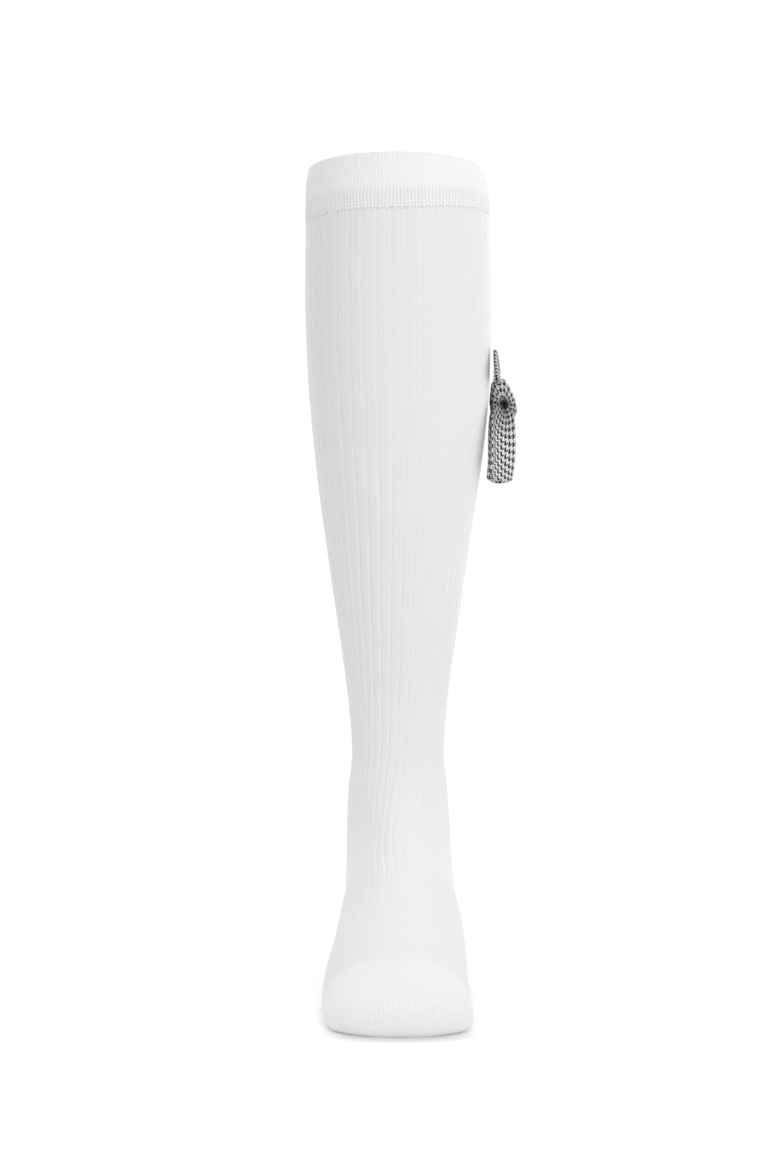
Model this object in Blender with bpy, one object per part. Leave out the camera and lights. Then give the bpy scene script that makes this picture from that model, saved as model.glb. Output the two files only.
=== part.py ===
"""A ribbed knee sock that keeps the form of the leg, with a ribbon bow at its outer side.

The knit is a tube with a closed toe. Its surface is a run of sections, each a plane curve between a
point on the front of the sock (shin, instep, top of the toe) and a point on its back (calf, heel,
sole). The planes lie level on the leg, fan round the instep, and stand upright on the foot.
The cuff, leg, heel, foot and toe are zones of that surface, as the knitting machine works them.

Metres, +Z up, toes towards -Y, bow on the +X side. The origin is on the inner face of the sole,
under the axis of the leg.
"""

import math

import bpy
import numpy as np

# Heights above the floor
SOCK_HEIGHT = 0.392
CUFF_HEIGHT = 0.026
ANKLE_HEIGHT = 0.110
INSTEP_HEIGHT = 0.0665

# Outer widths, side to side, and depths, front to back
CALF_WIDTH = 0.092
CALF_DEPTH = 0.098
ANKLE_WIDTH = 0.0454
ANKLE_DEPTH = 0.0615
HEEL_WIDTH = 0.054
BALL_WIDTH = 0.0672
HEEL_BEHIND = 0.0545
FOOT_LENGTH = 0.2145

# Knit
WALL = 0.0018
CUFF_WALL = 0.0026
CUFF_PROUD = 0.0004
RIB_COUNT = 42
RIB_DEPTH = 0.0006
RIB_DRIFT = 0.009
TOE_COLUMNS = 40
SEAM_GAP = 0.0003

# Ribbon bow
BOW_DROP = 0.109
RIBBON_WIDTH = 0.024
RIBBON_WALL = 0.0009
KNOT_HEIGHT = 0.013
KNOT_PROUD = 0.0115
KNOT_LENGTH = 0.011
KNOT_WALL = 0.0014
SWELL_SHARE = 0.10
KNOT_SIDES = 24
NECK_SHARE = 0.62
LOOP_REACH = 0.0195
LOOP_RISE = 0.0115
LOOP_OPENING = 0.0034
LOOP_LEAN = 0.0024
TAIL_DROP = 0.044
TAIL_AHEAD = 0.0125
TAIL_TURN = math.radians(33)
TAIL_CUP = 0.0016
BOW_GAP = 0.0003

# Fineness of the curves
CURVE_POINTS = 721
NUDGE_SHARE = 0.004
SHARP_ANGLE = math.radians(50)

# Leg, from the cuff's edge down to the ankle. height: share of the way from ankle to cuff edge.
# width and depth: share of the way from the ankle's to the calf's. back: how far the middle lies
# behind the axis, over the calf's depth. side: how far it lies to the side, over the calf's width.
LEG = (
    # height, width, depth, back, side
    (1.000, 0.900, 0.863, 0.000, -0.012),
    (0.922, 0.955, 0.904, 0.010, -0.006),
    (0.844, 0.983, 0.959, 0.020, -0.003),
    (0.762, 1.000, 1.000, 0.031, 0.002),
    (0.674, 0.961, 0.973, 0.035, 0.002),
    (0.599, 0.897, 0.890, 0.033, 0.000),
    (0.514, 0.798, 0.753, 0.027, 0.000),
    (0.426, 0.674, 0.589, 0.020, 0.000),
    (0.337, 0.524, 0.425, 0.014, 0.000),
    (0.248, 0.369, 0.274, 0.009, 0.000),
    (0.160, 0.210, 0.137, 0.004, 0.000),
    (0.075, 0.075, 0.041, 0.001, 0.000),
    (0.000, 0.000, 0.000, 0.000, 0.000),
)

# Turn, from the ankle round the heel. ahead: front point, share of the way from shin to toe tip.
# up: front point, share of the way from instep height to ankle height. out: back point, share of
# the way from the tendon to the back of the heel. rise: back point, over the ankle's height.
# width: over the heel's. belly: place of the widest line, from the back. square: roundness of the
# back, 2 for an ellipse and more for a flatter one.
TURN = (
    # ahead, up, out, rise, width, belly, square
    (0.003, 0.862, 0.05, 0.865, 0.850, 0.50, 2.1),
    (0.014, 0.724, 0.18, 0.700, 0.905, 0.47, 2.1),
    (0.034, 0.586, 0.42, 0.527, 0.935, 0.42, 2.2),
    (0.063, 0.460, 0.75, 0.355, 0.960, 0.38, 2.3),
    (0.098, 0.345, 1.00, 0.200, 0.985, 0.35, 2.4),
    (0.136, 0.230, 0.82, 0.046, 1.000, 0.36, 2.5),
    (0.178, 0.115, 0.10, -0.012, 1.010, 0.38, 2.7),
)

# Foot, from under the instep to the toe tip. ahead: as in the turn. up: front point, over the
# instep's height. sole: back point, share of the way from the heel's back to the toe tip. rise:
# back point, over the instep's height. width: over the ball's. square_top and square_sole: roundness.
# side and sweep: how far the middle lies to +X, and the sides behind it, over the ball's width.
FOOT = (
    # ahead, up, sole, rise, width, side, belly, square_top, square_sole, sweep
    (0.229, 1.000, 0.217, -0.020, 0.840, 0.000, 0.40, 2.1, 2.8, 0.00),
    (0.295, 0.910, 0.357, -0.020, 0.885, 0.000, 0.35, 2.1, 2.8, 0.00),
    (0.380, 0.805, 0.496, -0.020, 0.925, -0.006, 0.28, 2.0, 2.7, 0.00),
    (0.480, 0.700, 0.627, -0.020, 0.962, -0.012, 0.22, 2.0, 2.6, 0.00),
    (0.589, 0.595, 0.739, -0.020, 0.990, -0.016, 0.18, 2.0, 2.6, 0.01),
    (0.698, 0.496, 0.813, -0.020, 1.000, -0.016, 0.18, 2.0, 2.6, 0.01),
    (0.783, 0.421, 0.865, -0.020, 0.995, -0.012, 0.21, 2.1, 2.7, 0.02),
    (0.868, 0.353, 0.916, -0.019, 0.975, -0.008, 0.25, 2.2, 2.9, 0.03),
    (0.934, 0.290, 0.953, -0.014, 0.935, -0.004, 0.30, 2.4, 3.2, 0.04),
    (0.981, 0.225, 0.977, 0.000, 0.870, 0.000, 0.38, 2.5, 3.2, 0.05),
    (1.000, 0.170, 0.993, 0.055, 0.770, 0.000, 0.50, 2.6, 2.6, 0.05),
)

ANKLE_LINE = len(LEG) + 1
HEEL_LINE = len(LEG) + len(TURN) - 1
TOE_LINE = HEEL_LINE + 7
TOE_LINING_END = HEEL_LINE + 10
TIP = HEEL_LINE + len(FOOT)

# One loop of the ribbon, from the knot out, round the fold and back. along: share of the way from
# the knot to the fold. open: place of the layer, over half the loop's opening.
LOOP_PATH = (
    # along, open
    (0.00, 0.42),
    (0.20, 0.52),
    (0.45, 0.86),
    (0.70, 1.00),
    (0.88, 0.90),
    (0.97, 0.55),
    (1.00, 0.00),
    (0.97, -0.55),
    (0.88, -0.90),
    (0.70, -1.00),
    (0.45, -0.86),
    (0.20, -0.52),
    (0.00, -0.42),
)

# The line that a loop follows. ahead: over the loop's reach. up: over its rise. width: over the
# ribbon's, where 0 is the gathered neck.
LOOP_SPINE = (
    # ahead, up, width
    (0.12, 0.07, 0.00),
    (0.30, 0.09, 0.01),
    (0.47, 0.22, 0.20),
    (0.67, 0.52, 0.70),
    (0.85, 0.80, 1.00),
    (1.00, 1.00, 0.98),
)

# The line that a tail follows. ahead: over the tail's reach. down: over its drop. out: away from
# the leg, over the knot's depth. width: as in the loop. turn: from the neck's way to the hanging one.
TAIL_SPINE = (
    # ahead, down, out, width, turn
    (0.16, 0.055, 0.00, 0.00, 0.00),
    (0.53, 0.060, 0.00, 0.00, 0.05),
    (0.77, 0.125, 0.04, 0.22, 0.40),
    (0.89, 0.260, 0.10, 0.68, 0.85),
    (0.94, 0.430, 0.14, 0.98, 1.00),
    (0.98, 0.640, 0.12, 1.00, 1.00),
    (1.00, 0.820, 0.08, 0.98, 1.00),
    (1.00, 1.000, 0.04, 0.94, 1.00),
)


def clear_scene():
    for item in list(bpy.data.objects):
        bpy.data.objects.remove(item, do_unlink=True)


def make_material(name, colour, roughness):
    material = bpy.data.materials.new(name)
    material.use_nodes = True
    shader = material.node_tree.nodes["Principled BSDF"]
    shader.inputs["Base Color"].default_value = (*colour, 1.0)
    shader.inputs["Roughness"].default_value = roughness
    shader.inputs["Metallic"].default_value = 0.0
    return material


def make_object(name, points, faces, material):
    """An object of the points that the faces use, shaded smooth except at its sharp edges."""
    used = sorted({corner for face in faces for corner in face})
    place = {corner: number for number, corner in enumerate(used)}
    mesh = bpy.data.meshes.new(name)
    mesh.from_pydata(points[used].tolist(), [], [[place[corner] for corner in face] for face in faces])
    mesh.materials.append(material)
    mesh.shade_smooth()
    mesh.set_sharp_from_angle(angle=SHARP_ANGLE)
    piece = bpy.data.objects.new(name, mesh)
    bpy.context.collection.objects.link(piece)
    return piece


def smooth_rows(table, place):
    """The table's row at a place between its rows, on a Catmull-Rom curve through them."""
    table = np.asarray(table, float)
    place = np.clip(np.atleast_1d(place), 0, len(table) - 1)
    row = np.minimum(place.astype(int), len(table) - 2)
    step = (place - row)[:, None]
    before = table[np.maximum(row - 1, 0)]
    start = table[row]
    end = table[row + 1]
    after = table[np.minimum(row + 2, len(table) - 1)]
    return start + 0.5 * step * (
        end - before
        + step * (2 * before - 5 * start + 4 * end - after + step * (3 * (start - end) + after - before))
    )


def unit(vectors):
    return vectors / np.linalg.norm(vectors, axis=-1, keepdims=True)


def section_rows():
    """One row per section: front y and z, back y and z, half width, side, belly, roundness of the
    front and of the back, and sweep, all as lengths above the floor or plain numbers."""
    toe_ahead = FOOT_LENGTH - HEEL_BEHIND
    shin = ANKLE_DEPTH / 2
    rows = []
    for height, width, depth, back, side in LEG:
        half_depth = (ANKLE_DEPTH + depth * (CALF_DEPTH - ANKLE_DEPTH)) / 2
        middle = back * CALF_DEPTH
        level = ANKLE_HEIGHT + height * (SOCK_HEIGHT - ANKLE_HEIGHT)
        half_width = (ANKLE_WIDTH + width * (CALF_WIDTH - ANKLE_WIDTH)) / 2
        rows.append((middle - half_depth, level, middle + half_depth, level,
                     half_width, side * CALF_WIDTH, 0.5, 2.1, 2.1, 0.0))
    for ahead, up, out, rise, width, belly, square in TURN:
        rows.append((-shin - ahead * (toe_ahead - shin),
                     INSTEP_HEIGHT + up * (ANKLE_HEIGHT - INSTEP_HEIGHT),
                     shin + out * (HEEL_BEHIND - shin), rise * ANKLE_HEIGHT,
                     width * HEEL_WIDTH / 2, 0.0, belly, 2.1, square, 0.0))
    for ahead, up, sole, rise, width, side, belly, square_top, square_sole, sweep in FOOT:
        rows.append((-shin - ahead * (toe_ahead - shin), up * INSTEP_HEIGHT,
                     HEEL_BEHIND - sole * FOOT_LENGTH, rise * INSTEP_HEIGHT,
                     width * BALL_WIDTH / 2, side * BALL_WIDTH, belly,
                     square_top, square_sole, sweep * BALL_WIDTH))
    return np.array(rows)


SECTIONS = section_rows()


def section_curve(row):
    """A section as a closed run of points: half an ellipse to the front, half to the back."""
    front_y, front_z, back_y, back_z, half_width, side, belly, square_front, square_back, sweep = row
    turn = np.linspace(0, 2 * np.pi, CURVE_POINTS)
    square = np.where(np.cos(turn) >= 0, square_front, square_back)
    reach = np.where(np.cos(turn) >= 0, 1 - belly, belly)
    along = belly + np.sign(np.cos(turn)) * reach * np.abs(np.cos(turn)) ** (2 / square)
    across = np.sign(np.sin(turn)) * np.abs(np.sin(turn)) ** (2 / square)
    x = side + half_width * across
    y = back_y + along * (front_y - back_y) + sweep * across**2
    z = back_z + along * (front_z - back_z)
    return np.stack([x, y, z], axis=1)


def knit_line(place, shares):
    """Points on the section at a place, at shares of its girth from the front towards +X."""
    curve = section_curve(smooth_rows(SECTIONS, place)[0])
    run = np.append(0, np.cumsum(np.linalg.norm(np.diff(curve, axis=0), axis=1)))
    wanted = np.mod(shares, 1) * run[-1]
    return np.stack([np.interp(wanted, run, curve[:, axis]) for axis in range(3)], axis=1)


def knit_grid(places, shares):
    """(points, way down, way round) of the outer skin, a row for each place. The two ways are units."""
    points = np.array([knit_line(place, row) for place, row in zip(places, shares)])
    above = np.array([knit_line(max(place - NUDGE_SHARE, 0), row) for place, row in zip(places, shares)])
    below = np.array([knit_line(min(place + NUDGE_SHARE, TIP), row) for place, row in zip(places, shares)])
    left = np.array([knit_line(place, row - NUDGE_SHARE / 4) for place, row in zip(places, shares)])
    right = np.array([knit_line(place, row + NUDGE_SHARE / 4) for place, row in zip(places, shares)])
    return points, unit(below - above), unit(right - left)


def place_at_height(height):
    """The place on the leg whose section lies at this height."""
    places = np.linspace(0, len(LEG) - 1, CURVE_POINTS)
    heights = smooth_rows(SECTIONS, places)[:, 1]
    return float(np.interp(-height, -heights, places))


def column_shares(places, columns):
    """Shares of the girth for each column. The front columns drift to -X from the calf to the toes."""
    shares = np.arange(columns) / columns
    front = 0.5 + 0.5 * np.cos(2 * np.pi * shares)
    drift = np.clip((np.asarray(places) - place_at_height(ANKLE_HEIGHT * 2)) / (TOE_LINE - len(LEG)), 0, 1)
    girth = math.pi * BALL_WIDTH
    return shares[None, :] - drift[:, None] * front[None, :] * RIB_DRIFT / girth


def rib_relief(places, columns):
    """How deep each point lies under the ribs' crests. Past the ankle only the front is ribbed."""
    number = np.arange(columns)
    groove = RIB_DEPTH * (number % 2)
    from_front = np.minimum(number, columns - number) / columns
    on_top = np.clip((0.25 - from_front) / 0.05, 0, 1)
    below_ankle = np.asarray(places)[:, None] > ANKLE_LINE
    return groove[None, :] * np.where(below_ankle, on_top[None, :], 1.0)


def on_floor(points, thickness):
    """The points, none lower than this above the floor, in the part's frame."""
    resting = points.copy()
    resting[..., 2] = np.maximum(resting[..., 2], thickness) - WALL
    return resting


def ring_faces(rows, columns):
    """Faces between rings of points, where the last ring meets the first, as on a hollow ring."""
    faces = []
    for row in range(rows):
        below = (row + 1) % rows
        for column in range(columns):
            beside = (column + 1) % columns
            faces.append((row * columns + column, below * columns + column,
                          below * columns + beside, row * columns + beside))
    return faces


def shell_faces(rows, columns, worked, closed):
    """Faces of a wall over the worked cells of a grid: the skin, the lining in cells two columns
    wide, and rims between them. The lining's points follow the skin's."""
    lining = rows * columns
    faces = []
    rim = set()

    def corner(row, column):
        return row * columns + (column % columns if closed else column)

    for row in range(worked.shape[0]):
        for column in range(worked.shape[1]):
            if not worked[row, column]:
                continue
            loop = (corner(row, column), corner(row + 1, column),
                    corner(row + 1, column + 1), corner(row, column + 1))
            faces.append(loop)
            for start, end in zip(loop, loop[1:] + loop[:1]):
                if (end, start) in rim:
                    rim.remove((end, start))
                else:
                    rim.add((start, end))
            if column % 2 == 0:
                pair = (corner(row, column), corner(row, column + 2),
                        corner(row + 1, column + 2), corner(row + 1, column))
                faces.append(tuple(lining + point for point in pair))
    after = dict(sorted(rim))
    for start, middle in after.items():
        same_row = start // columns == middle // columns
        if not same_row:
            faces.append((middle, start, lining + start, lining + middle))
        elif start % columns % 2 == 0:
            end = after[middle]
            faces.append((end, middle, start, lining + start, lining + end))
    return faces


def knit_zone(name, places, columns, worked, closed, material, edges, relief, wall=WALL, proud=0.0):
    """A zone of the knit as a wall. edges: the rows or columns that keep the seam's gap, as
    "first", "last" and "sides"."""
    places = np.asarray(places, float)
    shares = column_shares(places, 2 * RIB_COUNT)[:, columns]
    points, down, around = knit_grid(places, shares)
    outward = unit(np.cross(down, around))
    if "first" in edges:
        points[0] += SEAM_GAP * down[0]
    if "last" in edges:
        points[-1] -= SEAM_GAP * down[-1]
    if "sides" in edges:
        points[:, 0] += SEAM_GAP * around[:, 0]
        points[:, -1] -= SEAM_GAP * around[:, -1]
    skin = on_floor(points + (proud - relief[:, columns])[..., None] * outward, 0.0)
    lining = on_floor(points + (proud - wall) * outward, wall)
    faces = shell_faces(len(places), len(columns), worked, closed)
    grid = np.concatenate([skin.reshape(-1, 3), lining.reshape(-1, 3)])
    return make_object(name, grid, faces, material)


def make_leg(material):
    seam = place_at_height(SOCK_HEIGHT - CUFF_HEIGHT)
    places = [seam, *range(math.ceil(seam), ANKLE_LINE + 1)]
    columns = np.arange(2 * RIB_COUNT)
    worked = np.ones((len(places) - 1, len(columns)), bool)
    relief = rib_relief(places, len(columns))
    return knit_zone("leg", places, columns, worked, True, material, ("first",), relief)


def heel_columns():
    """First and last column of the heel, the back half of the sock."""
    first = 2 * round((RIB_COUNT - 1) / 4)
    return first, 2 * RIB_COUNT - first


def make_heel(material):
    places = np.linspace(ANKLE_LINE, HEEL_LINE, 2 * (HEEL_LINE - ANKLE_LINE) + 1)
    first, last = heel_columns()
    columns = np.arange(first, last + 1)
    worked = np.ones((len(places) - 1, len(columns) - 1), bool)
    relief = np.zeros((len(places), 2 * RIB_COUNT))
    return knit_zone("heel", places, columns, worked, False, material, ("first", "last", "sides"), relief)


def make_foot(material):
    places = np.arange(ANKLE_LINE, TOE_LINE + 1)
    columns = np.arange(2 * RIB_COUNT)
    first, last = heel_columns()
    row, column = np.mgrid[0 : len(places) - 1, 0 : len(columns)]
    worked = (row >= HEEL_LINE - ANKLE_LINE) | (column < first) | (column >= last)
    relief = rib_relief(places, len(columns))
    return knit_zone("foot", places, columns, worked, True, material, ("first",), relief)


def make_cuff(material):
    """The welt: knit folded over to a double wall, with a round fold as its top edge."""
    seam = place_at_height(SOCK_HEIGHT - CUFF_HEIGHT)
    below_fold = place_at_height(SOCK_HEIGHT - CUFF_WALL / 2)
    places = np.array([below_fold, seam])
    columns = 2 * RIB_COUNT
    points, down, around = knit_grid(places, column_shares(places, columns))
    outward = unit(np.cross(down, around))
    skin = points + CUFF_PROUD * outward
    lining = points + (CUFF_PROUD - CUFF_WALL) * outward
    fold = (skin[0] + lining[0]) / 2 - CUFF_WALL / 2 * down[0]
    hem = [(skin[-1] + lining[-1]) / 2]
    rings = on_floor(np.array([fold, *skin, *hem, *lining[::-1]]), 0.0)
    return make_object("cuff", rings.reshape(-1, 3), ring_faces(len(rings), columns), material)


def closing_faces(first, columns, outwards):
    """Faces that sew the last ring's top half to its sole half, along the seam across the toes."""
    half = columns // 2
    faces = []
    for step in range(columns // 4):
        right = [step, half - step, half - step - 1, step + 1]
        left = [-step % columns, -(step + 1) % columns, half + step + 1, half + step]
        for ring in (right, left):
            ring = [first + point for point in dict.fromkeys(ring)]
            faces.append(tuple(ring if outwards else ring[::-1]))
    return faces


def make_toe(material):
    """The closed end: skin to the tip, lining to a wall short of it, each sewn shut."""
    columns = TOE_COLUMNS
    skin_places = np.append(np.arange(TOE_LINE, TIP, 0.5), TIP)
    lining_places = np.arange(TOE_LINE, TOE_LINING_END + 0.25, 0.5)
    shares = np.arange(columns) / columns
    points, down, around = knit_grid(skin_places, np.tile(shares, (len(skin_places), 1)))
    outward = unit(np.cross(down, around))
    points[0] += SEAM_GAP * down[0]
    skin = on_floor(points, 0.0).reshape(-1, 3)
    lining = points[: len(lining_places)] - WALL * outward[: len(lining_places)]
    lining = on_floor(lining, WALL).reshape(-1, 3)
    faces = []
    for row in range(len(skin_places) - 1):
        for column in range(columns):
            beside = (column + 1) % columns
            cell = (row * columns + column, (row + 1) * columns + column,
                    (row + 1) * columns + beside, row * columns + beside)
            faces.append(cell)
            if row < len(lining_places) - 1:
                faces.append(tuple(len(skin) + point for point in cell[::-1]))
            if row == 0:
                faces.append((cell[0], cell[3], len(skin) + cell[3], len(skin) + cell[0]))
    faces += closing_faces((len(skin_places) - 1) * columns, columns, True)
    faces += closing_faces(len(skin) + (len(lining_places) - 1) * columns, columns, False)
    return make_object("toe", np.concatenate([skin, lining]), faces, material)


def bow_centre():
    """The middle of the knot, seated on the side of the leg."""
    level = SOCK_HEIGHT - BOW_DROP
    row = smooth_rows(SECTIONS, place_at_height(level))[0]
    side = row[5] + row[4]
    middle = (row[0] + row[2]) / 2
    return np.array([side + BOW_GAP + KNOT_PROUD / 2, middle, level - WALL])


def ribbon(name, line, width_way, widths, material, cup=0.0, across=4):
    """A strip of ribbon along a line, with its own width way and width at each point of the line.
    cup bends its width like a shallow gutter. The strip is a box of two faces and four edges."""
    along = unit(np.gradient(line, axis=0))
    width_way = unit(width_way - np.sum(width_way * along, axis=1, keepdims=True) * along)
    face_way = np.cross(along, width_way)
    share = np.linspace(-1, 1, across + 1)
    fullness = (widths / widths.max())[:, None, None]
    middle = line[:, None] + share[None, :, None] * widths[:, None, None] / 2 * width_way[:, None]
    middle = middle + cup * fullness * (1 - share[None, :, None] ** 2) * face_way[:, None]
    sides = [middle + side * RIBBON_WALL / 2 * face_way[:, None] for side in (1, -1)]
    ring = np.concatenate([sides[0], sides[1][:, ::-1]], axis=1)
    rows, columns = ring.shape[:2]
    faces = []
    for row in range(rows - 1):
        for column in range(columns):
            beside = (column + 1) % columns
            faces.append((row * columns + column, (row + 1) * columns + column,
                          (row + 1) * columns + beside, row * columns + beside))
    for column in range(across):
        start = (column, column + 1, columns - 2 - column, columns - 1 - column)
        faces.append(start)
        faces.append(tuple((rows - 1) * columns + point for point in start[::-1]))
    return make_object(name, ring.reshape(-1, 3), faces, material)


def neck_width():
    """Width of the gathered ribbon where it enters the knot, half the opening each for loop and tail."""
    return (KNOT_HEIGHT / 2 - KNOT_WALL) * NECK_SHARE - BOW_GAP


def make_loop(name, forward, material):
    """A ribbon loop that rises from the knot, to the front if forward is 1 and to the back if -1."""
    path = smooth_rows(LOOP_PATH, np.linspace(0, len(LOOP_PATH) - 1, 21))
    spine = smooth_rows(LOOP_SPINE, np.clip(path[:, 0], 0, 1) * (len(LOOP_SPINE) - 1))
    lean = LOOP_LEAN * path[:, 0]
    line = np.stack([path[:, 1] * (LOOP_OPENING - RIBBON_WALL) / 2 - lean,
                     -forward * spine[:, 0] * LOOP_REACH,
                     spine[:, 1] * LOOP_RISE], axis=1)
    ahead = smooth_rows(LOOP_SPINE, np.clip(path[:, 0] + 0.02, 0, 1) * (len(LOOP_SPINE) - 1))
    behind = smooth_rows(LOOP_SPINE, np.clip(path[:, 0] - 0.02, 0, 1) * (len(LOOP_SPINE) - 1))
    heading = unit(np.stack([np.zeros(len(path)),
                             -forward * (ahead - behind)[:, 0] * LOOP_REACH,
                             (ahead - behind)[:, 1] * LOOP_RISE], axis=1))
    width_way = np.cross(heading, np.tile([float(forward), 0, 0], (len(path), 1)))
    widths = neck_width() + np.clip(spine[:, 2], 0, 1) * (RIBBON_WIDTH - neck_width())
    return ribbon(name, bow_centre() + line, width_way, widths, material)


def make_tail(name, forward, material):
    """A hanging ribbon end, in front of the knot if forward is 1 and behind it if -1."""
    spine = smooth_rows(TAIL_SPINE, np.linspace(0, len(TAIL_SPINE) - 1, 19))
    line = np.stack([spine[:, 2] * KNOT_PROUD,
                     -forward * spine[:, 0] * TAIL_AHEAD,
                     -spine[:, 1] * TAIL_DROP], axis=1)
    hanging = np.array([-math.sin(TAIL_TURN), -forward * math.cos(TAIL_TURN), 0])
    at_neck = np.array([0, 0, 1.0])
    turn = np.clip(spine[:, 4], 0, 1)[:, None]
    width_way = forward * ((1 - turn) * at_neck + turn * hanging)
    widths = neck_width() + np.clip(spine[:, 3], 0, 1) * (RIBBON_WIDTH - neck_width())
    return ribbon(name, bow_centre() + line, width_way, widths, material, TAIL_CUP)


def make_knot(material):
    """The wrap round the gathered ribbon: a barrel along Y with an open channel for the necks."""
    turn = np.linspace(0, 2 * np.pi, KNOT_SIDES, endpoint=False)
    share = np.linspace(-1, 1, 7)
    swell = 1 - SWELL_SHARE * share**2
    end = 1 - SWELL_SHARE
    wall = np.append(np.zeros(len(share)), [KNOT_WALL, KNOT_WALL])
    size = np.append(swell, [end, end])
    place = np.append(share, [1, -1]) * KNOT_LENGTH / 2
    x = (size * KNOT_PROUD / 2 - wall)[:, None] * np.cos(turn)
    y = np.tile(place[:, None], KNOT_SIDES)
    z = (size * KNOT_HEIGHT / 2 - wall)[:, None] * np.sin(turn)
    rings = np.stack([x, y, z], axis=2) + bow_centre()
    return make_object("bow_knot", rings.reshape(-1, 3), ring_faces(len(rings), KNOT_SIDES), material)


clear_scene()
knit = make_material("white_knit", (0.83, 0.83, 0.82), 0.9)
welt = make_material("cuff_knit", (0.85, 0.85, 0.86), 0.9)
plain_knit = make_material("plain_knit", (0.84, 0.84, 0.83), 0.9)
houndstooth = make_material("houndstooth_ribbon", (0.42, 0.42, 0.42), 0.6)

make_cuff(welt)
make_leg(knit)
make_heel(plain_knit)
make_foot(knit)
make_toe(plain_knit)
make_knot(houndstooth)
make_loop("bow_loop_front", 1, houndstooth)
make_loop("bow_loop_rear", -1, houndstooth)
make_tail("bow_tail_front", 1, houndstooth)
make_tail("bow_tail_rear", -1, houndstooth)
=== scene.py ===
# %% [markdown]
# # A ribbed knee sock with a houndstooth bow
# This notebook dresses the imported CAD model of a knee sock. The CAD solids give every zone its
# place and size. Here each zone becomes a real knit surface, with ribs that stand up from it, and
# the bow becomes woven ribbon. All shapes are functions on a grid, worked out with numpy.

# %% Load the CAD frame
import math

import bpy
import numpy as np
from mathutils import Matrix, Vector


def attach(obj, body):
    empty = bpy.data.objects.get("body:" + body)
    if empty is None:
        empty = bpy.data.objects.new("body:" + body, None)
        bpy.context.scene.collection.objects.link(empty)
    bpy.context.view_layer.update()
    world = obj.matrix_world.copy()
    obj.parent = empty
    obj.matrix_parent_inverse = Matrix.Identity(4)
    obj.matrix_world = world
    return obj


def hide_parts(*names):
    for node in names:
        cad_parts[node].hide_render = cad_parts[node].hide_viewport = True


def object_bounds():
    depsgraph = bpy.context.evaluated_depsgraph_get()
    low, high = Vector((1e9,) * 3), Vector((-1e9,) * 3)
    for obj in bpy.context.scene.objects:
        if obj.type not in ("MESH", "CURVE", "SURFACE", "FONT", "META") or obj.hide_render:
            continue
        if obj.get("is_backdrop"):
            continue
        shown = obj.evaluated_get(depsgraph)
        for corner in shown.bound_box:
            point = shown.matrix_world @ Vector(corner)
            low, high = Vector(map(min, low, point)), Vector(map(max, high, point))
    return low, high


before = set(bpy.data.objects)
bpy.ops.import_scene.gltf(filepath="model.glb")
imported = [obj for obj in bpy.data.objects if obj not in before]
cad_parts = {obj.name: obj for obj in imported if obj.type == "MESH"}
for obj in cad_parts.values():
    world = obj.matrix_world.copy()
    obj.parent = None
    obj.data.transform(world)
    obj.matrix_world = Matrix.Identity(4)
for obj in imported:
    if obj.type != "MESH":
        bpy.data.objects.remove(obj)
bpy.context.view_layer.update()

# %% [markdown]
# ## The named sizes
# A knitted sock is one tube. Its form comes from a few sizes and from tables that say how each
# cross-section differs from its neighbours. The sizes are those of the CAD source. The tables are
# nearly the same: here they follow the photo's outline a little more closely, by a millimetre or
# so. One could also sculpt the form, but sizes and tables can be measured, compared and changed.

# %% Sizes of the sock, in metres
SOCK_HEIGHT = 0.392
CUFF_HEIGHT = 0.026
ANKLE_HEIGHT = 0.110
INSTEP_HEIGHT = 0.0665
CALF_WIDTH = 0.092
CALF_DEPTH = 0.098
ANKLE_WIDTH = 0.0454
ANKLE_DEPTH = 0.0615
HEEL_WIDTH = 0.054
BALL_WIDTH = 0.0672
HEEL_BEHIND = 0.0545
FOOT_LENGTH = 0.2145
WALL = 0.0018
CUFF_WALL = 0.0026
CUFF_PROUD = 0.0004
RIB_DRIFT = 0.009

# %% Sections of the leg, of the turn at the heel, and of the foot
LEG = (
    # height, width, depth, back, side
    (1.000, 0.912, 0.863, 0.000, -0.006),
    (0.922, 0.965, 0.904, 0.010, -0.001),
    (0.844, 0.990, 0.959, 0.020, 0.001),
    (0.762, 1.005, 1.000, 0.031, 0.004),
    (0.674, 0.968, 0.973, 0.035, 0.004),
    (0.599, 0.920, 0.890, 0.033, 0.006),
    (0.514, 0.818, 0.753, 0.027, 0.005),
    (0.426, 0.680, 0.589, 0.020, 0.001),
    (0.337, 0.524, 0.425, 0.014, 0.000),
    (0.248, 0.369, 0.274, 0.009, 0.000),
    (0.160, 0.210, 0.137, 0.004, 0.000),
    (0.075, 0.075, 0.041, 0.001, 0.000),
    (0.000, 0.000, 0.000, 0.000, 0.000),
)
TURN = (
    # ahead, up, out, rise, width, belly, square, side
    (0.003, 0.862, 0.05, 0.865, 0.850, 0.50, 2.1, 0.000),
    (0.014, 0.724, 0.18, 0.700, 0.905, 0.47, 2.1, 0.000),
    (0.034, 0.586, 0.42, 0.527, 0.935, 0.42, 2.2, 0.003),
    (0.063, 0.460, 0.75, 0.355, 0.960, 0.38, 2.3, 0.008),
    (0.098, 0.345, 1.00, 0.200, 0.985, 0.35, 2.4, 0.014),
    (0.136, 0.230, 0.82, 0.046, 1.000, 0.36, 2.5, 0.018),
    (0.178, 0.115, 0.10, -0.012, 1.010, 0.38, 2.7, 0.018),
)
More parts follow.
